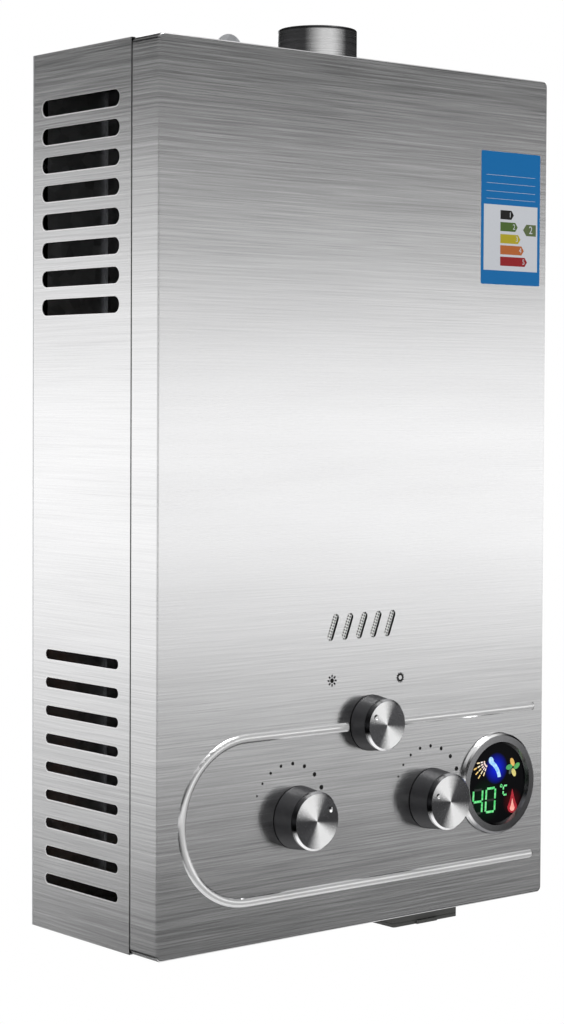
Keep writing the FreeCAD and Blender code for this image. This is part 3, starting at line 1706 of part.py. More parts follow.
def battery_door():
    """Door under the cells, with its knuckles and a finger rib at the front."""
    x0, x1, y0, y1 = battery_outline()
    high = door_line()
    low = high - door_thickness
    plate = box(x0, x1, y0, y1, low, high)
    upright = [line for line in plate.Edges if abs(line.Vertexes[0].Z - line.Vertexes[1].Z) > sheet]
    plate = plate.makeFillet(battery_wall, upright)
    pin = hinge_pin_place()
    parts = [plate]
    for sign in (-1, 1):
        centre = battery_x + sign * (x1 - x0) / 4
        a, b = centre - hinge_knuckle_length / 2, centre + hinge_knuckle_length / 2
        parts.append(rod(hinge_knuckle_radius, Vec(a, pin.y, pin.z), Vec(b, pin.y, pin.z)))
        parts.append(box(a, b, y1 - battery_wall * 2, pin.y + hinge_knuckle_radius, low, high))
        knuckle_front = pin.y - hinge_knuckle_radius / 2
        parts.append(box(a, b, knuckle_front, pin.y + hinge_knuckle_radius, high - 1, pin.z))
    left, right = battery_x - door_rib_half, battery_x + door_rib_half
    parts.append(box(left, right, y0 - door_rib_out, y0 + battery_wall, low, high))
    bore = rod(hinge_pin_radius + spindle_clearance, Vec(x0, pin.y, pin.z), Vec(x1, pin.y, pin.z))
    return fuse(parts).cut(bore)


def battery_cells():
    """Two large round cells, one each way up."""
    cells = []
    low = door_line() + door_gap
    for index, place in enumerate(cell_places()):
        base = Vec(place.x, place.y, low)
        body = rod(cell_radius, base, base + Vec(0, 0, cell_height - cell_button_height))
        button = rod(cell_button_radius, base, base + Vec(0, 0, cell_height))
        cell = fuse([body, button])
        if index == 1:
            cell.rotate(base + Vec(0, 0, cell_height / 2), Vec(1, 0, 0), 180)
        cells.append(cell)
    return group(cells)


def battery_contacts():
    """Conical contact springs above the cells."""
    springs = []
    roof = battery_roof() - contact_wire - spindle_clearance
    low = door_line() + door_gap + cell_height
    for place in cell_places():
        start = Vec(place.x, place.y, low + contact_wire + spindle_clearance)
        length = roof - start.z
        springs.append(coil(start, Vec(0, 0, 1), Vec(1, 0, 0), contact_tip_radius, contact_radius, length,
                            contact_turns, contact_wire, "contact spring"))
    return group(springs)


def build():
    """Write every node."""
    water_seat = control_z - valve_half_height
    nodes = {
        "back_plate": back_plate(),
        "side_panel_left": side_panel(-1),
        "side_panel_right": side_panel(1),
        "top_plate": top_plate(),
        "bottom_plate": bottom_plate(),
        "front_cover": front_cover(),
        "casing_screws": casing_screws(),
        "viewing_screen": viewing_screen(),
        "flue_collar": flue_collar(),
        "smoke_hood": smoke_hood(),
        "combustion_chamber": combustion_chamber(),
        "exchanger_fins": exchanger_fins(),
        "exchanger_tubes": exchanger_tubes(),
        "chamber_coil": chamber_coil(),
        "overheat_thermostat": overheat_thermostat(),
        "burner_frame": burner_frame(),
        "burner_bars": burner_bars(),
        "gas_manifold": gas_manifold(),
        "gas_injectors": gas_injectors(),
        "season_plug": season_plug(),
        "season_knob": knob(season_x, season_z, season_radius, season_knob_height),
        "season_knob_cap": knob_cap(season_x, season_z, season_radius, season_knob_height,
                                    season_dimple_reach, season_dimple_angle),
        "gas_valve_body": gas_valve_body(),
        "gas_solenoid": gas_solenoid(),
        "gas_plug": gas_plug(),
        "gas_knob": knob(knob_x_gas, control_z, knob_radius, knob_height),
        "gas_knob_cap": knob_cap(knob_x_gas, control_z, knob_radius, knob_height,
                                 gas_dimple_reach, gas_dimple_angle),
        "gas_poppet": gas_poppet(),
        "poppet_spring": poppet_spring(),
        "gas_riser": gas_riser(),
        "water_valve_body": water_valve_body(),
        "water_valve_cover": water_valve_cover(),
        "diaphragm": diaphragm(),
        "diaphragm_screws": diaphragm_screws(),
        "push_rod": push_rod(),
        "water_spindle": water_spindle(),
        "water_needle": water_needle(),
        "water_knob": knob(knob_x_water, control_z, knob_radius, knob_height),
        "water_knob_cap": knob_cap(knob_x_water, control_z, knob_radius, knob_height,
                                   water_dimple_reach, water_dimple_angle),
        "flow_switch": flow_switch(),
        "switch_lever": switch_lever(),
        "gas_inlet": connection(knob_x_gas, connection_y, gas_way, water_seat),
        "cold_inlet": connection(knob_x_water, connection_y, water_way, water_seat),
        "hot_outlet": connection(hot_x, hot_y, water_way, bottom + hot_spigot),
        "connection_nuts": connection_nuts(),
        "supply_pipe": supply_pipe(),
        "hot_pipe": hot_pipe(),
        "drain_valve": drain_valve(),
        "electrodes": electrodes(),
        "electrode_leads": electrode_leads(),
        "igniter_box": igniter_box(),
        "battery_case": battery_case(),
        "battery_door": battery_door(),
        "battery_hinge_pin": battery_hinge_pin(),
        "battery_cells": battery_cells(),
        "battery_contacts": battery_contacts(),
        "display_bezel": display_bezel(),
        "display_lens": display_lens(),
        "display_board": display_board(),
        "display_housing": display_housing(),
    }
    os.makedirs("parts", exist_ok=True)
    for node, shape in nodes.items():
        save(shape, node)
    print("nodes", len(nodes))


build()
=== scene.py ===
import json
import math

import bmesh
import bpy
from mathutils import Matrix, Vector


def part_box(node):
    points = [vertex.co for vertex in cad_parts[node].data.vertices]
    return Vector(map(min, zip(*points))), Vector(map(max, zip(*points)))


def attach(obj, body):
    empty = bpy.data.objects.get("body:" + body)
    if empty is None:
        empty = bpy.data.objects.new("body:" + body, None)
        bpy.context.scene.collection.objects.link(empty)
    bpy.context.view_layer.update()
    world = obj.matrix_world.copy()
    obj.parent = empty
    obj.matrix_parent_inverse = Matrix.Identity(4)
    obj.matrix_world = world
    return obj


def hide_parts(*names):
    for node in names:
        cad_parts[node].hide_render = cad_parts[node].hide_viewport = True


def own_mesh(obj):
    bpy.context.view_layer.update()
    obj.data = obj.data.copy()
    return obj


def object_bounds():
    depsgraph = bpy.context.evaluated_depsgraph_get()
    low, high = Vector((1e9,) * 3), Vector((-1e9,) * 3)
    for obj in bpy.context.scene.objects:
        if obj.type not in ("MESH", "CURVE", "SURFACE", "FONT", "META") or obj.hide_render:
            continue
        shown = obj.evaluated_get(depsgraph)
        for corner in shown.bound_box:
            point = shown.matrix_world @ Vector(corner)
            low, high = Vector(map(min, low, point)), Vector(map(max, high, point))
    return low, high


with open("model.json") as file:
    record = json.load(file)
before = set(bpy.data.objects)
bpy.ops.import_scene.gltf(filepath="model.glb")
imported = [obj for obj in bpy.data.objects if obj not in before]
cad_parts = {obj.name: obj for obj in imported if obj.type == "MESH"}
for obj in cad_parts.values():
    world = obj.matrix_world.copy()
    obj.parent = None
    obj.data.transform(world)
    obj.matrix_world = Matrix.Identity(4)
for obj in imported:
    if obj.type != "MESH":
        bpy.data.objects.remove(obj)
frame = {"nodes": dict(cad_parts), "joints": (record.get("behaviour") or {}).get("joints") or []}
cad_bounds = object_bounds()
nodes = frame["nodes"]
scene = bpy.context.scene
mm = 0.001

# Studio: the heater hangs above a small pale floor in a white surround. The surround that metal
# reflects is a bright band at eye height that falls off above and below, which is what gives
# large brushed sheets their soft gradient from top to bottom.
photo_width, photo_height = 564, 1024
focal_pixels = 2328.87
centre_pixel_x, centre_pixel_y = 287.32, 473.95
camera_place = Vector((-1.2876, -1.6266, -0.3068))
camera_yaw = math.radians(39.8469)
camera_pitch = math.radians(-1.7995)
camera_roll = math.radians(0.2758)
floor_drop = 0.40
floor_radius = 0.55
floor_matt_radius, floor_white_radius = 0.20, 0.52
floor_steps = 96
fill_level = 0.62
# slope of a ray that metal mirrors, from straight down to straight up, and the brightness it meets
band_stops = [(-1.0, 1.1), (-0.75, 0.9), (-0.58, 0.05), (-0.34, 0.0), (-0.26, 0.0), (-0.21, 0.02),
              (-0.16, 0.28), (-0.11, 0.90), (-0.07, 1.18), (0.005, 1.18), (0.04, 0.92), (0.075, 0.40),
              (0.11, 0.07), (0.15, 0.01), (0.45, 0.02), (0.70, 0.75), (1.0, 1.05)]

camera_data = bpy.data.cameras.new("camera")
camera_data.sensor_width = 36
camera_data.lens = focal_pixels * camera_data.sensor_width / photo_height
camera_data.shift_x = (photo_width / 2 - centre_pixel_x) / photo_height
camera_data.shift_y = (centre_pixel_y - photo_height / 2) / photo_height
camera = bpy.data.objects.new("camera", camera_data)
scene.collection.objects.link(camera)
scene.camera = camera
forward = Vector((math.sin(camera_yaw) * math.cos(camera_pitch),
                  math.cos(camera_yaw) * math.cos(camera_pitch),
                  math.sin(camera_pitch)))
level_right = Vector((math.cos(camera_yaw), -math.sin(camera_yaw), 0))
level_up = level_right.cross(forward)
right = level_right * math.cos(camera_roll) + level_up * math.sin(camera_roll)
up = level_up * math.cos(camera_roll) - level_right * math.sin(camera_roll)
turn = Matrix((right, up, -forward)).transposed().to_4x4()
camera.matrix_world = Matrix.Translation(camera_place) @ turn


class Signal:
    """One output of a finish's nodes, so that shader maths reads as a sum."""

    def __init__(self, finish, socket):
        self.finish = finish
        self.socket = socket

    def maths(self, operation, first, second):
        return self.finish.node("ShaderNodeMath", {"operation": operation}, {0: first, 1: second})

    def __add__(self, other):
        return self.maths("ADD", self, other)

    def __sub__(self, other):
        return self.maths("SUBTRACT", self, other)

    def __rsub__(self, other):
        return self.maths("SUBTRACT", other, self)

    def __mul__(self, other):
        return self.maths("MULTIPLY", self, other)

    def __truediv__(self, other):
        return self.maths("DIVIDE", self, other)

    def __gt__(self, other):
        return self.maths("GREATER_THAN", self, other)

    def __lt__(self, other):
        return self.maths("LESS_THAN", self, other)

    __radd__ = __add__
    __rmul__ = __mul__


class Finish:
    """One finish: its node tree, and the nodes that fill it."""

    def __init__(self, name, tree=None):
        if tree is None:
            self.material = bpy.data.materials.new(name)
            self.material.use_nodes = True
            tree = self.material.node_tree
        self.tree = tree
        self.tree.nodes.clear()

    def node(self, kind, settings=None, inputs=None, output=0):
        """Add a node: its settings, then its sockets' values or links. Gives one of its outputs."""
        made = self.tree.nodes.new(kind)
        for key, value in (settings or {}).items():
            if key == "stops":
                ramp = made.color_ramp
                while len(ramp.elements) < len(value):
                    ramp.elements.new(0.5)
                for element, (place, colour) in zip(ramp.elements, value):
                    element.position = place
                    element.color = (*colour, 1)
            else:
                setattr(made, key, value)
        for key, value in (inputs or {}).items():
            if isinstance(value, Signal):
                self.tree.links.new(value.socket, made.inputs[key])
            else:
                made.inputs[key].default_value = value
        return Signal(self, made.outputs[output]) if len(made.outputs) else None

    def place(self):
        """The point's own coordinates, in metres in the heater's frame."""
        return self.node("ShaderNodeTexCoord", output="Object")

    def along(self, axis, place=None):
        """One coordinate of a point: 0, 1 or 2."""
        return self.node("ShaderNodeSeparateXYZ", {}, {0: place or self.place()}, axis)

    def noise(self, stretch, detail=2.0):
        """Noise with its own fineness along each axis, in waves per metre."""
        scaled = self.joined("MULTIPLY", self.place(), stretch)
        return self.node("ShaderNodeTexNoise", {}, {"Vector": scaled, "Scale": 1.0, "Detail": detail})

    def root(self, value):
        """Square root of a value."""
        return self.node("ShaderNodeMath", {"operation": "SQRT"}, {0: value})

    def absolute(self, value):
        """A value without its sign."""
        return self.node("ShaderNodeMath", {"operation": "ABSOLUTE"}, {0: value})

    def larger(self, first, second):
        """The larger of two values."""
        return self.node("ShaderNodeMath", {"operation": "MAXIMUM"}, {0: first, 1: second})

    def joined(self, operation, first, second):
        """Vector that comes of two vectors or colours."""
        return self.node("ShaderNodeVectorMath", {"operation": operation}, {0: first, 1: second})

    def length(self, vector):
        """Length of a vector."""
        return self.node("ShaderNodeVectorMath", {"operation": "LENGTH"}, {0: vector}, 1)

    def inside(self, low, high):
        """One inside a box, nought outside it."""
        middle, half = (Vector(low) + Vector(high)) / 2, (Vector(high) - Vector(low)) / 2
        shares = self.joined("DIVIDE", self.joined("SUBTRACT", self.place(), middle), half)
        x, y, z = [self.absolute(self.along(axis, shares)) for axis in range(3)]
        return self.larger(x, self.larger(y, z)) < 1

    def wrapped(self, value, reach):
        """Carry a length into the range of one repeat, about 0."""
        return self.node("ShaderNodeMath", {"operation": "WRAP"}, {0: value, 1: reach / 2, 2: -reach / 2})

    def ranged(self, value, low, high, to_low, to_high):
        """Carry a value from one range to another, held at both ends."""
        return self.node("ShaderNodeMapRange", {"clamp": True},
                         {"Value": value, "From Min": low, "From Max": high,
                          "To Min": to_low, "To Max": to_high})

    def mix(self, share, first, second):
        """Colour between two colours."""
        first = first if isinstance(first, Signal) else (*first, 1)
        second = second if isinstance(second, Signal) else (*second, 1)
        return self.node("ShaderNodeMix", {"data_type": "RGBA"}, {0: share, 6: first, 7: second}, 2)

    def bump(self, height, distance, strength=1.0):
        """Surface relief from a height of 0 to 1 that stands for a depth in metres."""
        return self.node("ShaderNodeBump", {}, {"Height": height, "Strength": strength, "Distance": distance})

    def done(self, **values):
        """Close the finish with a principled shader. Each word names one of its sockets."""
        sockets = {"colour": "Base Color", "metal": "Metallic", "rough": "Roughness", "relief": "Normal",
                   "coat": "Coat Weight", "along_grain": "Anisotropic", "grain_turn": "Anisotropic Rotation",
                   "bend": "IOR", "gleam": "Specular IOR Level", "glow": "Emission Color",
                   "glow_strength": "Emission Strength"}
        inputs = {}
        for word, value in values.items():
            inputs[sockets[word]] = (*value, 1) if isinstance(value, tuple) else value
        shader = self.node("ShaderNodeBsdfPrincipled", {}, inputs)
        self.node("ShaderNodeOutputMaterial", {}, {"Surface": shader})
        return self.material


world = bpy.data.worlds.new("surround")
scene.world = world
world.use_nodes = True
scene.view_settings.view_transform = "Standard"
surround = Finish("surround", world.node_tree)
ray = surround.tree.nodes.new("ShaderNodeLightPath")
seen = Signal(surround, ray.outputs["Is Camera Ray"])
through = Signal(surround, ray.outputs["Is Transmission Ray"])
mirrored = Signal(surround, ray.outputs["Is Glossy Ray"])
slope = surround.along(2, surround.node("ShaderNodeTexCoord", output="Generated"))
band = surround.node("ShaderNodeValToRGB",
                     {"stops": [(place / 2 + 0.5, (level, level, level)) for place, level in band_stops]},
                     {0: surround.ranged(slope, -1, 1, 0, 1)})
others = 1 - seen - through - mirrored
strength = surround.larger(others, 0.0) * fill_level + seen + through + mirrored * band
backdrop = surround.node("ShaderNodeBackground", {}, {"Color": (1, 1, 1, 1), "Strength": strength})
surround.node("ShaderNodeOutputWorld", {}, {"Surface": backdrop})


def lamp(name, place, towards, width, height, power):
    """Wide soft lamp that faces a point."""
    data = bpy.data.lights.new(name, "AREA")
    data.shape = "RECTANGLE"
    data.size = width
    data.size_y = height
    data.energy = power
    made = bpy.data.objects.new(name, data)
    scene.collection.objects.link(made)
    made.location = place
    made.rotation_euler = (Vector(towards) - Vector(place)).to_track_quat("-Z", "Y").to_euler()


controls_place = (0.0, -0.184, -0.646)
lamp("key_softbox", (0.6, -1.5, 1.9), controls_place, 1.0, 1.0, 28)
lamp("front_strip", (1.75, -2.25, -0.45), (0.0, -0.184, -0.42), 2.4, 0.55, 2.0)
lamp("side_strip", (-1.75, 1.45, -0.55), (-0.214, -0.1, -0.48), 2.4, 1.38, 3.3)
lamp("rear_softbox", (1.2, 2.2, 0.9), (0.0, 0.0, -0.4), 1.2, 1.2, 14)

floor_mesh = bpy.data.meshes.new("floor")
shape = bmesh.new()
bmesh.ops.create_circle(shape, cap_ends=True, radius=floor_radius, segments=floor_steps,
                        matrix=Matrix.Translation((0, 0, cad_bounds[0][2] - floor_drop)))
shape.to_mesh(floor_mesh)
shape.free()
floor = bpy.data.objects.new("floor", floor_mesh)
scene.collection.objects.link(floor)
pale = Finish("pale_floor")
reach = pale.length(pale.joined("MULTIPLY", pale.place(), (1, 1, 0)))
matt = pale.node("ShaderNodeBsdfDiffuse", {}, {"Color": (0.95, 0.95, 0.95, 1)})
white = pale.node("ShaderNodeEmission", {}, {"Color": (1, 1, 1, 1), "Strength": 1.0})
to_white = pale.ranged(reach, floor_matt_radius, floor_white_radius, 0, 1)
blended = pale.node("ShaderNodeMixShader", {}, {0: to_white, 1: matt, 2: white})
pale.node("ShaderNodeOutputMaterial", {}, {"Surface": blended})
floor_mesh.materials.append(pale.material)


# Casing: the front cover, the two side panels and the top are stainless sheet, brushed level. The
# cover's seam is painted dark as shade, the crown of its pressed bead is matt, the slots' punched
# rims carry a painted highlight, and the inner side of all the sheets is painted dark as shade.
seam_y = -0.149
seam_shade_core, seam_edge = 0.5 * mm, 1.1 * mm
face_front = -0.184
bead_foot, bead_crown = 0.5 * mm, 1.6 * mm
# box half a millimetre inside the casing's outer faces, in which its sheets are painted dark as shade
inner_shade_low = (-0.2135, -0.1835, -0.7435)
inner_shade_high = (0.2135, -0.0115, -0.0245)
# painted highlight on the rim of each slot, and how it fades from the slot's rear lower half to its front
# upper half
rim_width, rim_least, rim_fade, rim_lean = 1.3 * mm, 0.15, 0.05, 12
past_side = 0.3
side_pitch = 23.2 * mm
side_slots_front = -132.7 * mm
# lowest slot's height, number of slots, and the length and height of one
side_slots = [(-701.5 * mm, 9, 102.0 * mm, 8.1 * mm), (-231.5 * mm, 8, 108.3 * mm, 13.2 * mm)]


def wear(material, *names):
    """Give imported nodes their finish."""
    for name in names:
        mesh = nodes[name].data
        mesh.materials.clear()
        mesh.materials.append(material)


def slot_rims(steel):
    """Share of the painted highlight on the punched rim round the side slots, strongest at their rear and
    lower edges.
    """
    rim_highlights = 0.0
    for first, count, length, height in side_slots:
        middle = side_slots_front + length / 2
        from_y = steel.along(1) - middle
        from_z = steel.wrapped(steel.along(2) - first, side_pitch)
        past_end = steel.larger(steel.absolute(from_y) - (length - height) / 2, 0.0)
        distance = steel.root(past_end * past_end + from_z * from_z) - height / 2
        near = steel.ranged(distance, rim_width / 2, rim_width, 1, 0)
        lit = steel.ranged(from_y - from_z * rim_lean, -rim_fade, rim_fade, rim_least, 1)
        group_top = first + (count - 0.5) * side_pitch
        group = steel.inside((-past_side, side_slots_front - side_pitch, first - side_pitch / 2),
                             (past_side, side_slots_front + length + side_pitch, group_top))
        rim_highlights = near * lit * group + rim_highlights
    return rim_highlights


def brushed(name, dark, light, low_rough, high_rough):
    """Sheet steel with long level scratches and a matt bead crown, painted shade in its seam and inside, and
    painted highlights on its slot rims.
    """
    steel = Finish(name)
    scratches = steel.noise((7, 7, 900), 3)
    hairs = steel.noise((16, 16, 2400), 1)
    clouds = steel.noise((3, 3, 26), 2)
    grain = scratches * 0.55 + hairs * 0.45
    tone = steel.ranged(grain * 0.85 + clouds * 0.15, 0.34, 0.66, 0, 1)
    # painted shade in the seam between the front cover and the rear casing
    from_seam = steel.absolute(steel.along(1) - seam_y)
    painted_seam_shade = steel.ranged(from_seam, seam_shade_core, seam_edge, 1, 0)
    raised = steel.ranged(steel.along(1), face_front - bead_crown, face_front - bead_foot, 1, 0)
    # painted highlights on the punched rims of the side slots
    rim_highlights = slot_rims(steel)
    sheet_tone = steel.mix(raised, steel.mix(tone, dark, light), (0.92, 0.92, 0.92))
    sheet_tone = steel.mix(rim_highlights, sheet_tone, (1.0, 1.0, 1.0))
    # inside the casing the sheets are painted dark as shade
    sheet_tone = steel.mix(steel.inside(inner_shade_low, inner_shade_high), sheet_tone, (0.05, 0.05, 0.05))
    sheet_tone = steel.mix(painted_seam_shade, sheet_tone, (0.03, 0.03, 0.03))
    return steel.done(colour=sheet_tone, metal=steel.ranged(raised + rim_highlights, 0, 1, 1.0, 0.42),
                      rough=steel.ranged(grain, 0.35, 0.65, low_rough, high_rough),
                      along_grain=0.55, grain_turn=0.25, relief=steel.bump(grain, 0.00001, 0.5))


stainless = brushed("brushed_stainless", (0.60, 0.60, 0.605), (0.84, 0.84, 0.845), 0.17, 0.24)
wear(stainless, "front_cover", "side_panel_left", "side_panel_right", "top_plate")

# Back plate with its hanging tab, and the bottom plate: galvanised sheet, folded, with the
# large crystals of hot-dip zinc.
crystals_per_metre = 95.0
zinc = Finish("galvanised_sheet")
crystals = zinc.node("ShaderNodeTexVoronoi", {}, {"Vector": zinc.place(), "Scale": crystals_per_metre}, 1)
crystal_tone = zinc.node("ShaderNodeSeparateColor", {}, {0: crystals})
frost = zinc.noise((400, 400, 400), 2)
zinc_tone = zinc.ranged(crystal_tone * 0.7 + frost * 0.3, 0.1, 0.9, 0, 1)
galvanised = zinc.done(colour=zinc.mix(zinc_tone, (0.50, 0.51, 0.53), (0.70, 0.71, 0.73)), metal=0.9,
                       rough=zinc.ranged(zinc_tone, 0, 1, 0.34, 0.50), relief=zinc.bump(frost, 0.00003))
wear(galvanised, "back_plate", "bottom_plate")

# Screws of the casing and of the valve flange: bright zinc-plated steel with a faint blue tint,
# uneven from its plating bath.
plated = Finish("zinc_screws")
plate_tone = plated.noise((700, 700, 700), 3)
wear(plated.done(colour=plated.mix(plate_tone, (0.55, 0.57, 0.62), (0.78, 0.79, 0.82)), metal=1.0,
                 rough=plated.ranged(plate_tone, 0.3, 0.7, 0.22, 0.38)),
     "casing_screws", "diaphragm_screws")

# Screen behind the five slanted slots: thin steel sheet drilled with rows of round holes, so that
# the flame can be seen but not touched. Its holes and a strip along the right side of each slot
# are painted dark as shade.
slot_pitch = 15.75 * mm
first_slot_x = -33.7 * mm
slots_z = -493.0 * mm
slot_lean = math.radians(21)
hole_pitch = 2.4 * mm
hole_shadow = 0.85 * mm
shade_from, shade_to = 1.6 * mm, 2.1 * mm
screen = Finish("perforated_steel")
slot_x = screen.wrapped(screen.along(0) - first_slot_x, slot_pitch)
slot_z = screen.along(2) - slots_z
across = slot_x * math.cos(slot_lean) - slot_z * math.sin(slot_lean)
lengthwise = slot_x * math.sin(slot_lean) + slot_z * math.cos(slot_lean)
hole_x = screen.wrapped(across - hole_pitch / 4, hole_pitch)
hole_z = screen.wrapped(lengthwise - hole_pitch / 2, hole_pitch)
# painted shade over each hole, and a painted shadow along the right side of each slot
painted_hole_shade = hole_x * hole_x + hole_z * hole_z < hole_shadow ** 2
painted_side_shadow = screen.ranged(across, shade_from, shade_to, 0, 1)
mill = screen.noise((200, 200, 900), 2)
screen_tone = screen.mix(mill, (0.86, 0.86, 0.85), (0.98, 0.98, 0.97))
screen_tone = screen.mix(painted_hole_shade, screen_tone, (0.004, 0.004, 0.004))
screen_tone = screen.mix(painted_side_shadow, screen_tone, (0.006, 0.006, 0.006))
wear(screen.done(colour=screen_tone, metal=0.15, rough=screen.ranged(mill, 0.3, 0.7, 0.30, 0.42)),
     "viewing_screen")

# Flue collar: drawn steel tube with a dark rolled rim, polished in turning, so it has level rings. One
# soft streak of light is painted down its front and its back, and the rest of the tube is painted dark.
streak_x, streak_y = -0.446, -0.896
rim_shade, rim_dark = 3.0 * mm, 2.0 * mm
tiny = 1e-9
collar = Finish("polished_steel")
rings = collar.noise((4, 4, 1500), 2)
low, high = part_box("flue_collar")
from_axis_x = collar.along(0) - (low.x + high.x) / 2
from_axis_y = collar.along(1) - (low.y + high.y) / 2
towards_streak = from_axis_x * streak_x + from_axis_y * streak_y
from_axis_squared = from_axis_x * from_axis_x + from_axis_y * from_axis_y + tiny
facing_share = towards_streak * towards_streak / from_axis_squared
# painted highlight: a soft streak where the tube faces one way, the rest of the tube painted dark
painted_streak = collar.ranged(facing_share + (rings - 0.5) * 0.03, 0.72, 0.99, 0, 1)
painted_tube_tone = collar.mix(painted_streak, (0.15, 0.15, 0.155), (1.0, 1.0, 1.0))
rolled_rim = collar.ranged(collar.along(2), high.z - rim_shade, high.z - rim_dark, 0, 1)
wear(collar.done(colour=collar.mix(rolled_rim, painted_tube_tone, (0.05, 0.05, 0.052)),
                 metal=collar.ranged(painted_streak, 0, 1, 1.0, 0.35),
                 rough=collar.ranged(rings, 0.3, 0.7, 0.22, 0.30), relief=collar.bump(rings, 0.000005)),
     "flue_collar")

# Smoke hood: plain folded sheet, painted dark as shade inside the casing, so that little of it shows
# through the slots of the side.
shaded_hood = Finish("shaded_hood_steel")
hood_mottle = shaded_hood.noise((18, 18, 30), 4)
# the hood's near-black colour is painted shade
hood_shade_tone = shaded_hood.mix(shaded_hood.ranged(hood_mottle, 0.35, 0.65, 0, 1), (0.03, 0.03, 0.03), (0.08, 0.08, 0.08))
wear(shaded_hood.done(colour=hood_shade_tone, metal=0.9, rough=shaded_hood.ranged(hood_mottle, 0.3, 0.7, 0.42, 0.58)),
     "smoke_hood")

# Heat exchanger: chamber, fins, tubes and coil in copper, darkened by heat in soft patches. The
# gas riser and the two water pipes are of the same copper.
hot_copper = Finish("copper")
heat = hot_copper.noise((30, 30, 30), 4)
polish = hot_copper.noise((500, 500, 500), 2)
copper = hot_copper.done(colour=hot_copper.mix(hot_copper.ranged(heat, 0.35, 0.68, 0, 1),
                                               (0.80, 0.38, 0.22), (0.42, 0.18, 0.12)),
                         metal=1.0, rough=hot_copper.ranged(polish + heat, 0.7, 1.3, 0.22, 0.42))
wear(copper, "combustion_chamber", "exchanger_tubes", "chamber_coil", "gas_riser", "supply_pipe", "hot_pipe")
fin_copper = Finish("copper_fins")
fin_heat = fin_copper.noise((60, 60, 90), 3)
wear(fin_copper.done(colour=fin_copper.mix(fin_heat, (0.72, 0.34, 0.20), (0.30, 0.13, 0.10)), metal=1.0,
                     rough=fin_copper.ranged(fin_heat, 0.3, 0.7, 0.28, 0.45)),
     "exchanger_fins")

# Burner: folded stainless bars in a frame, straw coloured below and blue towards the top, where
# the flame heats them.
burner = Finish("burner_steel")
flame_tint = burner.ranged(burner.noise((25, 25, 60), 3) + burner.along(2) * 2, -0.75, -0.35, 0, 1)
wear(burner.done(colour=burner.mix(flame_tint, (0.58, 0.55, 0.50), (0.36, 0.33, 0.42)), metal=1.0,
                 rough=burner.ranged(flame_tint, 0, 1, 0.30, 0.42)),
     "burner_frame", "burner_bars")

# Gas valve body and manifold: pressure-cast aluminium with a fine blasted skin, which blurs what
# it mirrors.
casting = Finish("cast_aluminium")
skin = casting.noise((1100, 1100, 1100), 2)
wear(casting.done(colour=casting.mix(skin, (0.50, 0.50, 0.51), (0.68, 0.68, 0.69)), metal=1.0,
                  rough=casting.ranged(skin, 0.3, 0.7, 0.42, 0.58), relief=casting.bump(skin, 0.00005)),
     "gas_manifold", "gas_valve_body")

# Water valve, plugs, nipples and nuts: turned brass with patches of tarnish, and a pipe thread cut
# on the end of each nipple.
casing_bottom = -0.744
nut_depth = 8.5 * mm
thread_top = casing_bottom - nut_depth
thread_pitch = 1.814 * mm
thread_depth = 0.0006
yellow_brass = Finish("brass")
tarnish = yellow_brass.noise((45, 45, 45), 4)
turned = yellow_brass.noise((6, 6, 1300), 1)
brass_z = yellow_brass.along(2)
ridges = yellow_brass.node("ShaderNodeMath", {"operation": "PINGPONG"}, {0: brass_z, 1: thread_pitch / 2})
brass_relief = turned * 0.02 + (brass_z < thread_top) * (ridges * (2 / thread_pitch))
wear(yellow_brass.done(colour=yellow_brass.mix(yellow_brass.ranged(tarnish, 0.35, 0.7, 0, 1),
                                               (0.80, 0.60, 0.28), (0.52, 0.36, 0.16)),
                       metal=1.0, rough=yellow_brass.ranged(tarnish + turned, 0.7, 1.3, 0.20, 0.38),
                       relief=yellow_brass.bump(brass_relief, thread_depth)),
     "gas_injectors", "season_plug", "gas_plug", "water_valve_body", "water_valve_cover", "water_spindle",
     "water_needle", "gas_inlet", "cold_inlet", "hot_outlet", "connection_nuts")

# Small steel parts: rod, springs, pin, lever, thermostat can and electrodes, cold-drawn and
# lightly oiled.
drawn = Finish("steel_parts")
wire_tone = drawn.noise((900, 900, 900), 2)
wear(drawn.done(colour=drawn.mix(wire_tone, (0.48, 0.48, 0.50), (0.66, 0.66, 0.68)), metal=1.0,
                rough=drawn.ranged(wire_tone, 0.3, 0.7, 0.22, 0.36)),
     "push_rod", "poppet_spring", "switch_lever", "overheat_thermostat", "battery_hinge_pin",
     "battery_contacts", "electrodes")

# Spring behind the gas poppet: a copy of the imported wire with a mesh of its own, which rides with
# the casing. In the heater it shortens towards its seat in the valve body as the poppet opens; the copy
# keeps its imported shape.
low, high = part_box("poppet_spring")
wire = nodes["poppet_spring"].data.copy()
wire.transform(nodes["poppet_spring"].matrix_world)
spring = bpy.data.objects.new("poppet_spring_wire", wire)
scene.collection.objects.link(spring)
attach(spring, "casing")
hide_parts("poppet_spring")
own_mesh(spring)

# Diaphragm and gas poppet: moulded black nitrile rubber with a dusty, matt skin, a little paler
# where the dust lies.
nitrile = Finish("rubber")
dust = nitrile.noise((300, 300, 300), 4)
wear(nitrile.done(colour=nitrile.mix(dust, (0.012, 0.012, 0.013), (0.045, 0.044, 0.042)),
                  rough=nitrile.ranged(dust, 0.3, 0.7, 0.6, 0.8), relief=nitrile.bump(dust, 0.00004)),
     "diaphragm", "gas_poppet")

# Ignition leads: silicone-insulated wire, brick red and slightly waxy, from the electrodes to the
# igniter box.
lead_skin = Finish("silicone_lead")
wax = lead_skin.noise((500, 500, 500), 2)
wear(lead_skin.done(colour=lead_skin.mix(wax, (0.42, 0.035, 0.02), (0.56, 0.07, 0.04)),
                    rough=lead_skin.ranged(wax, 0.3, 0.7, 0.42, 0.56), relief=lead_skin.bump(wax, 0.00003)),
     "electrode_leads")

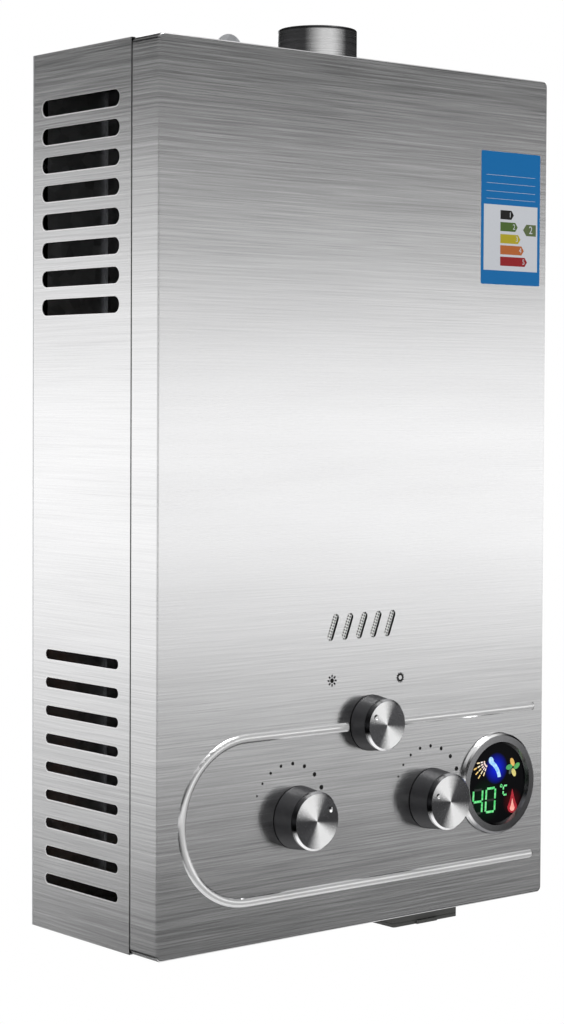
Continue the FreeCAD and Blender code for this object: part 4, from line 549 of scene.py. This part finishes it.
# Battery box and its door, igniter box, flow switch, solenoid, drain knob and display housing:
# dark moulded plastic with a fine spark-eroded texture.
moulded = Finish("dark_plastic")
texture = moulded.noise((1600, 1600, 1600), 2)
wear(moulded.done(colour=moulded.mix(texture, (0.070, 0.071, 0.068), (0.110, 0.111, 0.105)),
                  rough=moulded.ranged(texture, 0.3, 0.7, 0.42, 0.60), relief=moulded.bump(texture, 0.00005)),
     "battery_case", "battery_door", "igniter_box", "flow_switch", "gas_solenoid", "drain_valve",
     "display_housing")

# Battery cells: two large round cells in a plain sleeve, copper coloured above its band and black
# below it.
sleeve_band_low, sleeve_band_high = -0.7195, -0.7190
sleeve = Finish("cell_wrap")
print_speckle = sleeve.noise((200, 200, 200), 2)
sleeve_band = sleeve.ranged(sleeve.along(2), sleeve_band_low, sleeve_band_high, 0, 1)
wear(sleeve.done(colour=sleeve.mix(sleeve_band, (0.015, 0.015, 0.016), (0.60, 0.30, 0.12)),
                 metal=0.2, rough=sleeve.ranged(print_speckle, 0.3, 0.7, 0.25, 0.36), coat=0.4),
     "battery_cells")

# Lamp board behind the display window: green laminate with a fine pattern of tracks under clear
# lacquer.
tracks_per_metre = 260.0
laminate = Finish("board")
tracks = laminate.node("ShaderNodeTexVoronoi", {"feature": "DISTANCE_TO_EDGE"},
                       {"Vector": laminate.place(), "Scale": tracks_per_metre})
board_tone = laminate.mix(laminate.ranged(tracks, 0.03, 0.08, 0, 1), (0.04, 0.22, 0.09), (0.01, 0.10, 0.04))
wear(laminate.done(colour=board_tone, rough=laminate.ranged(tracks, 0, 0.3, 0.35, 0.5), coat=0.5),
     "display_board")

# Knobs: moulded black skirts with a satin bloom. The metal caps pressed into their tops are the
# next section's.
skirt = Finish("black_plastic")
bloom = skirt.noise((250, 250, 250), 3)
wear(skirt.done(colour=skirt.mix(bloom, (0.032, 0.032, 0.035), (0.050, 0.050, 0.054)),
                rough=skirt.ranged(bloom, 0.3, 0.7, 0.36, 0.46), relief=skirt.bump(bloom, 0.00002)),
     "gas_knob", "water_knob", "season_knob")

# Knob caps: aluminium turned on a lathe, so each face is a spiral of fine grooves. Its two bright
# fans of light are painted highlights, and its chamfer carries a painted dark reflection and highlight.
# One round dimple is drilled near the rim as the pointer, painted with shade and a highlight. Every
# cap has a finish of its own, because its painted fans lie about its own centre.
face_y = next(joint["pos_m"][1] for joint in frame["joints"] if joint["name"] == "gas_knob_turn")
turns = 128
rings_per_metre = 2600
groove_width = 0.5 * mm
groove_slope = math.radians(6)
highlight_fan_angle = math.radians(118)
rim_reflection_angle = math.radians(150)
rim_chamfer = 1.7 * mm
cap_edge = 4 * mm
cap_wall = 1.0 * mm
dimple_radius = 2.3 * mm
dimple_depth = 0.9 * mm
hair = 0.01 * mm
merge_reach = 0.001 * mm
# reach of each knob's dimple from its centre, and its angle in degrees
pointers = {"gas_knob": (16.5 * mm, 30.6), "water_knob": (15.7 * mm, 156.7),
            "season_knob": (14.4 * mm, 149.0)}


def spun(name, centre, flat, pointer):
    """Turned metal: two opposite painted highlight fans on the flat, a dimple painted with shade and a
    highlight, and a polished chamfer round them painted with a dark reflection and a highlight.
    """
    made = Finish(name)
    x = made.along(0) - centre.x
    z = made.along(2) - centre.z
    # two opposite fans of painted highlight across the flat, dark between them
    lengthwise = x * math.cos(highlight_fan_angle) + z * math.sin(highlight_fan_angle)
    squared = x * x + z * z + tiny
    fan_highlight_share = lengthwise * lengthwise / squared
    radius = made.root(squared)
    fine = made.noise((900, 900, 900), 2)
    ring_noise = made.node("ShaderNodeTexNoise", {"noise_dimensions": "1D"},
                           {"W": radius * rings_per_metre, "Scale": 1.0, "Detail": 2.0})
    painted_fan = made.ranged(fan_highlight_share + (fine - 0.5) * 0.10 + (ring_noise - 0.5) * 0.25, 0.30, 0.93, 0, 1)
    painted_face = made.mix(painted_fan, (0.11, 0.11, 0.115), (1.0, 1.0, 1.0))
    # the chamfer is painted with a dark reflection at its upper left and a highlight at its lower left
    upper_left = x * math.cos(rim_reflection_angle) + z * math.sin(rim_reflection_angle)
    lower_left = x * math.cos(rim_reflection_angle + math.pi / 2) + z * math.sin(rim_reflection_angle + math.pi / 2)
    painted_rim = made.mix(made.ranged(lower_left / radius, 0.60, 0.72, 0, 1), (0.34, 0.34, 0.35), (0.98, 0.98, 0.99))
    painted_rim = made.mix(made.ranged(upper_left / radius, 0.66, 0.74, 0, 1), painted_rim, (0.02, 0.02, 0.022))
    # the dimple is painted with shade on its upper left and a highlight on its lower right
    from_pointer_x = made.along(0) - pointer.x
    from_pointer_z = made.along(2) - pointer.z
    from_pointer = made.root(from_pointer_x * from_pointer_x + from_pointer_z * from_pointer_z)
    dimple_highlight_side = made.ranged(from_pointer_x - from_pointer_z, -0.3 * mm, 0.6 * mm, 0, 1)
    painted_dimple = made.mix(dimple_highlight_side, (0.02, 0.02, 0.02), (1.0, 1.0, 1.0))
    painted_face = made.mix(from_pointer < dimple_radius, painted_face, painted_dimple)
    return made.done(colour=made.mix(radius > flat, painted_face, painted_rim), metal=made.ranged(painted_fan, 0, 1, 1.0, 0.06),
                     rough=made.ranged(fine, 0.3, 0.7, 0.20, 0.28))


def finished(name, shape, material, body="casing", crease=math.radians(9)):
    """Make a piece from its shape: doubles merged, faces outwards, smooth but for its creases."""
    bmesh.ops.remove_doubles(shape, verts=shape.verts, dist=merge_reach)
    bmesh.ops.recalc_face_normals(shape, faces=shape.faces)
    for edge in shape.edges:
        edge.smooth = len(edge.link_faces) == 2 and edge.calc_face_angle() < crease
    for polygon in shape.faces:
        polygon.smooth = True
    mesh = bpy.data.meshes.new(name)
    shape.to_mesh(mesh)
    shape.free()
    mesh.materials.append(material)
    piece = bpy.data.objects.new(name, mesh)
    scene.collection.objects.link(piece)
    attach(piece, body)
    return piece


def turned_shape(profile, centre):
    """Shape spun round the level axis through a centre, from points of radius and depth."""
    shape = bmesh.new()
    points = [shape.verts.new((centre.x + radius, depth, centre.z)) for radius, depth in profile]
    lines = [shape.edges.new(pair) for pair in zip(points, points[1:])]
    bmesh.ops.spin(shape, geom=points + lines, cent=centre, axis=(0, 1, 0), dvec=(0, 0, 0),
                   angle=math.tau, steps=turns, use_merge=True, use_duplicate=False)
    return shape


def flat_ring(inner, outer, front, thickness, centre):
    """Thin ring that lies on a face."""
    raised = front - thickness
    profile = [(inner, front), (inner, raised), (outer, raised), (outer, front), (inner, front)]
    return turned_shape(profile, centre)


for knob, (dimple_reach, dimple_angle) in pointers.items():
    low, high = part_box(knob + "_cap")
    centre = Vector(((low.x + high.x) / 2, 0, (low.z + high.z) / 2))
    cap_radius = (high.x - low.x) / 2
    front = low.y
    flat_radius = cap_radius - rim_chamfer
    grooves = round(flat_radius / groove_width)
    depth = flat_radius / grooves / 2 * math.tan(groove_slope)
    profile = [(0, front + depth)]
    for groove in range(grooves):
        profile.append(((groove + 0.5) * flat_radius / grooves, front))
        profile.append(((groove + 1) * flat_radius / grooves, front + (depth if groove < grooves - 1 else 0)))
    profile.append((cap_radius, front + rim_chamfer))
    profile.append((cap_radius, front + cap_edge))
    profile.append((cap_radius - cap_wall, front + cap_edge))
    profile.append((cap_radius - cap_wall, front + rim_chamfer + cap_wall))
    profile.append((flat_radius - cap_wall, front + cap_wall))
    profile.append((0, front + cap_wall))
    shape = turned_shape(profile, centre)
    turned_by = math.radians(dimple_angle)
    place = centre + Vector((math.cos(turned_by), 0, math.sin(turned_by))) * dimple_reach
    for point in shape.verts:
        away = math.hypot(point.co.x - place.x, point.co.z - place.z)
        if away < dimple_radius and point.co.y < front + depth + hair:
            point.co.y = front + dimple_depth * math.sqrt(1 - (away / dimple_radius) ** 2)
    cap_metal = spun(knob + "_cap_metal", centre, flat_radius, place)
    cap = finished(knob + "_cap_turned", shape, cap_metal, knob + "_set")
    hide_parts(knob + "_cap")

# Printed marks on the cover, in black screen ink: growing dots over the gas and water knobs, and
# an eight-armed frost mark and a ring for the sun over the season knob.
ink_thickness = 0.05 * mm
dot_count = 8
dot_arc_radius = 36.9 * mm
dot_first_angle, dot_last_angle = 157.7, 22.6
dot_arcs = {"gas_dots": (-79.7 * mm, -638.1 * mm), "water_dots": (74.1 * mm, -637.7 * mm)}
dot_bulge = 4.6
smallest_dot, largest_dot = 0.9 * mm, 2.0 * mm
frost_x, frost_z = -34.6 * mm, -536.9 * mm
frost_hub, frost_reach, frost_length, frost_width = 2.0 * mm, 3.8 * mm, 2.2 * mm, 1.5 * mm
frost_arms = 8
sun_x, sun_z = 41.5 * mm, -539.7 * mm
sun_inner, sun_outer, sun_reach, sun_dot = 1.9 * mm, 3.4 * mm, 3.8 * mm, 0.65 * mm
sun_dots = 12
ink = Finish("black_ink")
ink_film = ink.noise((1500, 1500, 1500), 2)
black_ink = ink.done(colour=ink.mix(ink_film, (0.004, 0.004, 0.004), (0.010, 0.010, 0.010)),
                     rough=ink.ranged(ink_film, 0.3, 0.7, 0.38, 0.52), gleam=0.2)


def facing(x, z, front, angle=0.0):
    """Frame of a flat thing on the front: its own X and Y lie in the face, its Z points out of it."""
    stood_up = Matrix.Rotation(math.pi / 2, 4, "X")
    return Matrix.Translation((x, front, z)) @ stood_up @ Matrix.Rotation(angle, 4, "Z")


def add_disc(shape, x, z, front, radius, thickness, wide=1.0, angle=0.0, steps=40):
    """Thin round or oval plate that lies on the front."""
    laid = facing(x, z, front - thickness / 2, angle) @ Matrix.Diagonal((wide, 1, 1, 1))
    made = bmesh.ops.create_cone(shape, cap_ends=True, segments=steps, radius1=radius, radius2=radius,
                                 depth=thickness, matrix=laid)
    return made["verts"]


def add_bar(shape, x, z, front, length, width, thickness, angle=0.0, lean=0.0):
    """Thin bar that lies on the front, turned by an angle, its ends leaning."""
    shear = Matrix(((length, lean * width, 0, 0), (0, width, 0, 0), (0, 0, thickness, 0), (0, 0, 0, 1)))
    made = bmesh.ops.create_cube(shape, size=1, matrix=facing(x, z, front - thickness / 2, angle) @ shear)
    return made["verts"]


for name, (arc_x, arc_z) in dot_arcs.items():
    shape = bmesh.new()
    for step in range(dot_count):
        share = step / (dot_count - 1)
        angle = math.radians(dot_first_angle + (dot_last_angle - dot_first_angle) * share
                             + dot_bulge * math.sin(math.pi * share))
        add_disc(shape, arc_x + dot_arc_radius * math.cos(angle), arc_z + dot_arc_radius * math.sin(angle),
                 face_y, smallest_dot + (largest_dot - smallest_dot) * share, ink_thickness)
    finished(name, shape, black_ink)

shape = bmesh.new()
add_disc(shape, frost_x, frost_z, face_y, frost_hub, ink_thickness)
for arm in range(frost_arms):
    angle = math.radians(360 / frost_arms * arm)
    add_bar(shape, frost_x + frost_reach * math.cos(angle), frost_z + frost_reach * math.sin(angle), face_y,
            frost_length, frost_width, ink_thickness, angle)
finished("frost_mark", shape, black_ink)

shape = bmesh.new()
for dot in range(sun_dots):
    angle = math.radians(360 / sun_dots * dot)
    add_disc(shape, sun_x + sun_reach * math.cos(angle), sun_z + sun_reach * math.sin(angle), face_y,
             sun_dot, ink_thickness, steps=16)
finished("sun_rays", shape, black_ink)
sun_ring = flat_ring(sun_inner, sun_outer, face_y, ink_thickness, Vector((sun_x, 0, sun_z)))
finished("sun_ring", sun_ring, black_ink)

# Rating sticker: blue printed film with a pale panel, five stepped bars with plain numbers, and
# one tag that points at the second bar. It is stuck flat on the cover.
film = 0.12 * mm
layer = 0.03 * mm
sticker_left, sticker_right = 133.0 * mm, 205.5 * mm
sticker_top, sticker_bottom = -89.5 * mm, -204.7 * mm
panel_sides = 3.2 * mm
panel_top, panel_bottom = 46.0 * mm, 103.0 * mm
bar_left = 23.4 * mm
bar_height = 7.9 * mm
bar_tip = 3.0 * mm
corner_cut = 1.6 * mm
rules = (20.5, 27.5, 34.5, 41.0)
rule_length, rule_width = 60 * mm, 0.25 * mm
numeral_inset, numeral_height = 4.5, 6.5 * mm
tag_right, tag_point, tag_down = 67.5 * mm, 51.5 * mm, 66.6 * mm
tag_height, tag_tip = 10.0 * mm, 4.0 * mm
tag_numeral_place, tag_numeral_height = 61 * mm, 9.5 * mm
# how far down each bar lies, how far across its tip reaches, in mm, and its colour
bars = [(54.4, 39.9, (0.012, 0.012, 0.012)), (64.7, 44.7, (0.075, 0.14, 0.03)),
        (75.2, 48.3, (0.45, 0.37, 0.02)), (84.9, 52.6, (0.47, 0.13, 0.03)),
        (94.8, 56.7, (0.30, 0.012, 0.015))]


def printed(name, colour):
    """Printed film: an even ink with faint mottling and a soft gloss."""
    made = Finish(name)
    mottle = made.noise((700, 700, 700), 2)
    darker = tuple(part * 0.9 for part in colour)
    return made.done(colour=made.mix(mottle, darker, colour), rough=made.ranged(mottle, 0.3, 0.7, 0.34, 0.42),
                     gleam=0.2)


def thicken(shape, faces, thickness):
    """Grow flat faces forwards into a plate."""
    grown = bmesh.ops.extrude_face_region(shape, geom=faces)
    moved = [part for part in grown["geom"] if isinstance(part, bmesh.types.BMVert)]
    bmesh.ops.translate(shape, verts=moved, vec=(0, -thickness, 0))


def add_pointed(shape, left, right, z, front, tall, thickness, tip):
    """Bar with a pointed right end, or left where right is the smaller."""
    outline = [(left, z - tall / 2), (right - tip, z - tall / 2), (right, z), (right - tip, z + tall / 2),
               (left, z + tall / 2)]
    flat = shape.faces.new([shape.verts.new((x, front, height)) for x, height in outline])
    thicken(shape, [flat], thickness)


def add_numeral(name, text, x, z, front, tall, material):
    """One plain numeral printed on the front."""
    curve = bpy.data.curves.new(name, "FONT")
    curve.body = text
    curve.size = tall
    curve.align_x = "CENTER"
    curve.align_y = "CENTER"
    curve.extrude = layer / 2
    made = bpy.data.objects.new(name, curve)
    scene.collection.objects.link(made)
    mesh = bpy.data.meshes.new_from_object(made)
    bpy.data.objects.remove(made)
    mesh.transform(facing(x, z, front - layer / 2))
    mesh.materials.clear()
    mesh.materials.append(material)
    piece = bpy.data.objects.new(name, mesh)
    scene.collection.objects.link(piece)
    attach(piece, "casing")


blue_film = printed("blue_film", (0.001, 0.150, 0.42))
pale_film = printed("pale_film", (0.62, 0.64, 0.68))
sticker_middle_x = (sticker_left + sticker_right) / 2
shape = bmesh.new()
add_bar(shape, sticker_middle_x, (sticker_top + sticker_bottom) / 2, face_y, sticker_right - sticker_left,
        sticker_top - sticker_bottom, film)
corners = [edge for edge in shape.edges if abs(edge.verts[0].co.y - edge.verts[1].co.y) > film / 2]
bmesh.ops.bevel(shape, geom=corners, offset=corner_cut, segments=6, profile=0.5, affect="EDGES", material=-1)
finished("sticker_film", shape, blue_film)
shape = bmesh.new()
add_bar(shape, sticker_middle_x, sticker_top - (panel_top + panel_bottom) / 2, face_y - film,
        sticker_right - sticker_left - 2 * panel_sides, panel_bottom - panel_top, layer)
for rule in rules:
    add_bar(shape, sticker_middle_x, sticker_top - rule * mm, face_y - film, rule_length, rule_width, layer)
finished("sticker_panel", shape, pale_film)
for number, (down, reach, colour) in enumerate(bars, 1):
    ink_colour = printed("bar_ink_%d" % number, colour)
    shape = bmesh.new()
    add_pointed(shape, sticker_left + bar_left, sticker_left + reach * mm, sticker_top - down * mm,
                face_y - film - layer, bar_height, layer, bar_tip)
    finished("sticker_bar_%d" % number, shape, ink_colour)
    add_numeral("sticker_number_%d" % number, str(number), sticker_left + (reach - numeral_inset) * mm,
                sticker_top - down * mm, face_y - film - 2 * layer, numeral_height, pale_film)
shape = bmesh.new()
add_pointed(shape, sticker_left + tag_right, sticker_left + tag_point, sticker_top - tag_down,
            face_y - film - layer, tag_height, layer, -tag_tip)
finished("sticker_tag", shape, printed("tag_ink", (0.11, 0.15, 0.06)))
add_numeral("sticker_tag_number", "2", sticker_left + tag_numeral_place, sticker_top - tag_down,
            face_y - film - 2 * layer, tag_numeral_height, pale_film)

# Display: a polished metal ring round a black window, with coloured lamps that shine through it:
# a spray and handset, a fan, a flame and the water temperature in seven-segment figures. Places
# and sizes behind the window are in mm from its middle.
window_x, window_z = 156.5 * mm, -640.8 * mm
highlight_side_angle = math.radians(155)
ring_edge_radius = 42.3 * mm
flame_x = 19.2
# place, inner and outer radius, and colour of the soft light round each group of lamps
patches = [(-1.0, 13.0, 3, 14, (0.002, 0.014, 0.60)), (-14.0, -14.0, 4, 20, (0.0, 0.014, 0.003)),
           (flame_x, -18.0, 3, 12, (0.05, 0.001, 0.002))]
lamp_layer = 0.04 * mm
spray_hub = (-10.5, 20.5)
spray_width = 1.15
jets = (184, 199, 214, 229, 244)
# reach and length of the dashes of each row, the angles of its jets, and its two colours
sprays = {"spray_near": (((5.2, 1.6), (8.4, 2.6)), jets, ((1.0, 0.72, 0.66), (1.0, 0.95, 0.92))),
          "spray_middle": (((12.4, 3.4),), jets, ((1.0, 0.78, 0.42), (1.0, 0.93, 0.72))),
          "spray_far": (((17.0, 3.8),), jets[1:4], ((1.0, 0.56, 0.10), (1.0, 0.80, 0.34)))}
handset_x, handset_z, handset_radius, handset_stretch, handset_turn = -7.2, 20.3, 3.4, 0.85, 30
bow_x, bow_z, bow_angle, bow_steps = -16.1, 1.9, 52, 14
bow_inner_end, bow_outer_end = (20.9, 3.2), (17.0, 3.0)
fan_x, fan_z = 19.8, 12.0
blade_reach, blade_radius, blade_stretch, blade_twist = 4.7, 2.3, 1.75, 18
# angle, share of the full size and colour of each blade
blades = {"fan_top": (100, 1.0, (0.66, 0.40, 0.10)), "fan_right": (10, 1.0, (0.08, 0.34, 0.09)),
          "fan_bottom": (-78, 1.0, (0.60, 0.52, 0.17)), "fan_left": (172, 1.0, (0.05, 0.30, 0.09)),
          "fan_dark": (-135, 0.65, (0.07, 0.09, 0.07))}
# left, low, width, height and bar width of the two figures and the letter for degrees
tens = (-29.0, -24.4, 11.0, 20.5, 1.95)
ones = (-13.4, -24.4, 11.0, 20.5, 1.95)
celsius = (7.9, -11.3, 5.0, 8.0, 1.5)
figure_lean = 0.06
figure_turn = 3.42
bar_overlap = 0.85
degree_x, degree_z, degree_inner, degree_outer = 5.4, -3.0, 0.7, 1.5
# place of each segment across and up the figure, and its angle
segments = {"a": (0.5, 1.0, 0), "b": (1.0, 0.75, 90), "c": (1.0, 0.25, 90), "d": (0.5, 0.0, 0),
            "e": (0.0, 0.25, 90), "f": (0.0, 0.75, 90), "g": (0.5, 0.5, 0)}
# radius of each drop of the flame, its height, how far its peak rises, its colour and its layers
flames = {"flame_outer": (6.0, -22.2, 15.0, (0.34, 0.010, 0.02), 1),
          "flame_inner": (2.9, -23.8, 8.4, (1.0, 0.36, 0.30), 2)}
flame_pinch = 0.75

# the ring is painted lighter towards its upper left as a highlight, with a bright painted highlight on its
# outer edge there, and darker on the other side as shade
ring_metal = Finish("display_metal")
lathe = ring_metal.noise((1200, 40, 1200), 2)
from_x = ring_metal.along(0) - window_x
from_z = ring_metal.along(2) - window_z
towards_highlight = from_x * math.cos(highlight_side_angle) + from_z * math.sin(highlight_side_angle) + (lathe - 0.5) * 0.004
face_highlight_share = ring_metal.ranged(towards_highlight, -0.030, 0.036, 0, 1)
edge_highlight_share = ring_metal.ranged(towards_highlight, 0.010, 0.022, 0, 1)
painted_ring_face = ring_metal.mix(face_highlight_share, (0.15, 0.15, 0.155), (0.42, 0.42, 0.43))
painted_ring_edge = ring_metal.mix(edge_highlight_share, (0.24, 0.24, 0.25), (1.0, 1.0, 1.0))
outer_edge = from_x * from_x + from_z * from_z > ring_edge_radius ** 2
wear(ring_metal.done(colour=ring_metal.mix(outer_edge, painted_ring_face, painted_ring_edge), metal=1.0,
                     rough=ring_metal.ranged(lathe, 0.3, 0.7, 0.14, 0.22)),
     "display_bezel")

window_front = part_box("display_lens")[0].y
window = Finish("display_glass")


def halo(finish, x, z, inner, outer):
    """Soft round patch of light behind the window: 1 in its middle and 0 outside it."""
    middle = (window_x + x * mm, window_front, window_z + z * mm)
    distance = finish.length(finish.joined("SUBTRACT", finish.place(), middle))
    return finish.ranged(distance, inner * mm, outer * mm, 1, 0)


lit = (0.0, 0.0, 0.0)
for x, z, inner, outer, colour in patches:
    patch = window.mix(halo(window, x, z, inner, outer), (0.0, 0.0, 0.0), colour)
    lit = window.joined("ADD", lit, patch)
smudge = window.noise((60, 60, 60), 3)
wear(window.done(colour=(0.003, 0.003, 0.004), rough=window.ranged(smudge, 0.4, 0.7, 0.03, 0.09),
                 bend=1.3, gleam=0.2, glow=lit, glow_strength=1.0),
     "display_lens")


def lamp_colour(name, core, edge):
    """Colour of a lamp behind the window, a little uneven as light spreads in its moulding."""
    made = Finish(name)
    spread = made.noise((420, 420, 420), 1)
    glow = made.mix(made.ranged(spread, 0.35, 0.65, 0, 1), core, edge)
    return made.done(colour=(0.01, 0.01, 0.01), rough=0.1, glow=glow, glow_strength=1.0)


def brighter(colour, times):
    """A colour's brighter self, held at full."""
    return tuple(min(1.0, part * times) for part in colour)


for name, (dashes, angles, colours) in sprays.items():
    shape = bmesh.new()
    for angle in angles:
        for reach, long in dashes:
            turned_by = math.radians(angle)
            add_bar(shape, window_x + (spray_hub[0] + reach * math.cos(turned_by)) * mm,
                    window_z + (spray_hub[1] + reach * math.sin(turned_by)) * mm, window_front, long * mm,
                    spray_width * mm, lamp_layer, turned_by)
    finished(name + "_lamp", shape, lamp_colour(name + "_glow", *colours))

shape = bmesh.new()
add_disc(shape, window_x + handset_x * mm, window_z + handset_z * mm, window_front, handset_radius * mm,
         lamp_layer, handset_stretch, math.radians(handset_turn))
bow = Vector((window_x + bow_x * mm, window_front, window_z + bow_z * mm))
inner_end = shape.verts.new(bow + Vector((bow_inner_end[0] * mm, 0, bow_inner_end[1] * mm)))
outer_end = shape.verts.new(bow + Vector((bow_outer_end[0] * mm, 0, bow_outer_end[1] * mm)))
band_edge = shape.edges.new((inner_end, outer_end))
bmesh.ops.spin(shape, geom=[inner_end, outer_end, band_edge], cent=bow, axis=(0, -1, 0), dvec=(0, 0, 0),
               angle=math.radians(bow_angle), steps=bow_steps, use_duplicate=False)
arc_faces = [part for part in shape.faces
             if abs(part.calc_center_median().y - window_front) < merge_reach and len(part.verts) == 4]
thicken(shape, arc_faces, lamp_layer)
finished("handset_lamp", shape, lamp_colour("handset_glow", (0.26, 0.56, 1.0), (0.55, 0.84, 1.0)))

for name, (angle, share, colour) in blades.items():
    shape = bmesh.new()
    turned_by = math.radians(angle)
    add_disc(shape, window_x + fan_x * mm + blade_reach * mm * math.cos(turned_by),
             window_z + fan_z * mm + blade_reach * mm * math.sin(turned_by), window_front,
             blade_radius * mm * share, lamp_layer, blade_stretch, turned_by + math.radians(blade_twist))
    finished(name + "_lamp", shape, lamp_colour(name + "_glow", colour, brighter(colour, 1.3)))


def add_figure(shape, parts, left, low, wide, tall, bar):
    """Seven-segment figure behind the window, from the letters of its lit segments."""
    for part in parts:
        across, rise, turned_by = segments[part]
        length = (tall / 2 if turned_by else wide) - bar * bar_overlap
        x = left + across * wide + (rise - 0.5) * tall * figure_lean
        add_bar(shape, window_x + x * mm, window_z + (low + rise * tall) * mm, window_front, length * mm,
                bar * mm, lamp_layer, math.radians(turned_by - (figure_turn if turned_by else 0)))


shape = bmesh.new()
add_figure(shape, "ade", *tens)
add_figure(shape, "g", *ones)
finished("figures_unlit", shape, lamp_colour("unlit_glow", (0.008, 0.012, 0.009), (0.016, 0.022, 0.018)))
shape = bmesh.new()
add_figure(shape, "bcfg", *tens)
add_figure(shape, "abcdef", *ones)
add_figure(shape, "adef", *celsius)
degree = flat_ring(degree_inner * mm, degree_outer * mm, window_front, lamp_layer,
                   Vector((window_x + degree_x * mm, 0, window_z + degree_z * mm)))
green_lamps = lamp_colour("figure_glow", (0.05, 0.66, 0.15), (0.26, 0.90, 0.36))
finished("figures_lamp", shape, green_lamps)
finished("degree_lamp", degree, green_lamps)

for name, (radius, drop, peak, colour, layers) in flames.items():
    shape = bmesh.new()
    middle_x, middle_z = window_x + flame_x * mm, window_z + drop * mm
    flame = add_disc(shape, middle_x, middle_z, window_front, radius * mm, lamp_layer * layers, steps=48)
    for point in flame:
        rise = point.co.z - middle_z
        if rise > 0:
            share = rise / (radius * mm)
            point.co.z += (peak - radius) * mm * share ** 2
            point.co.x = middle_x + (point.co.x - middle_x) * (1 - flame_pinch * share)
    finished(name + "_lamp", shape, lamp_colour(name + "_glow", colour, brighter(colour, 1.35)))
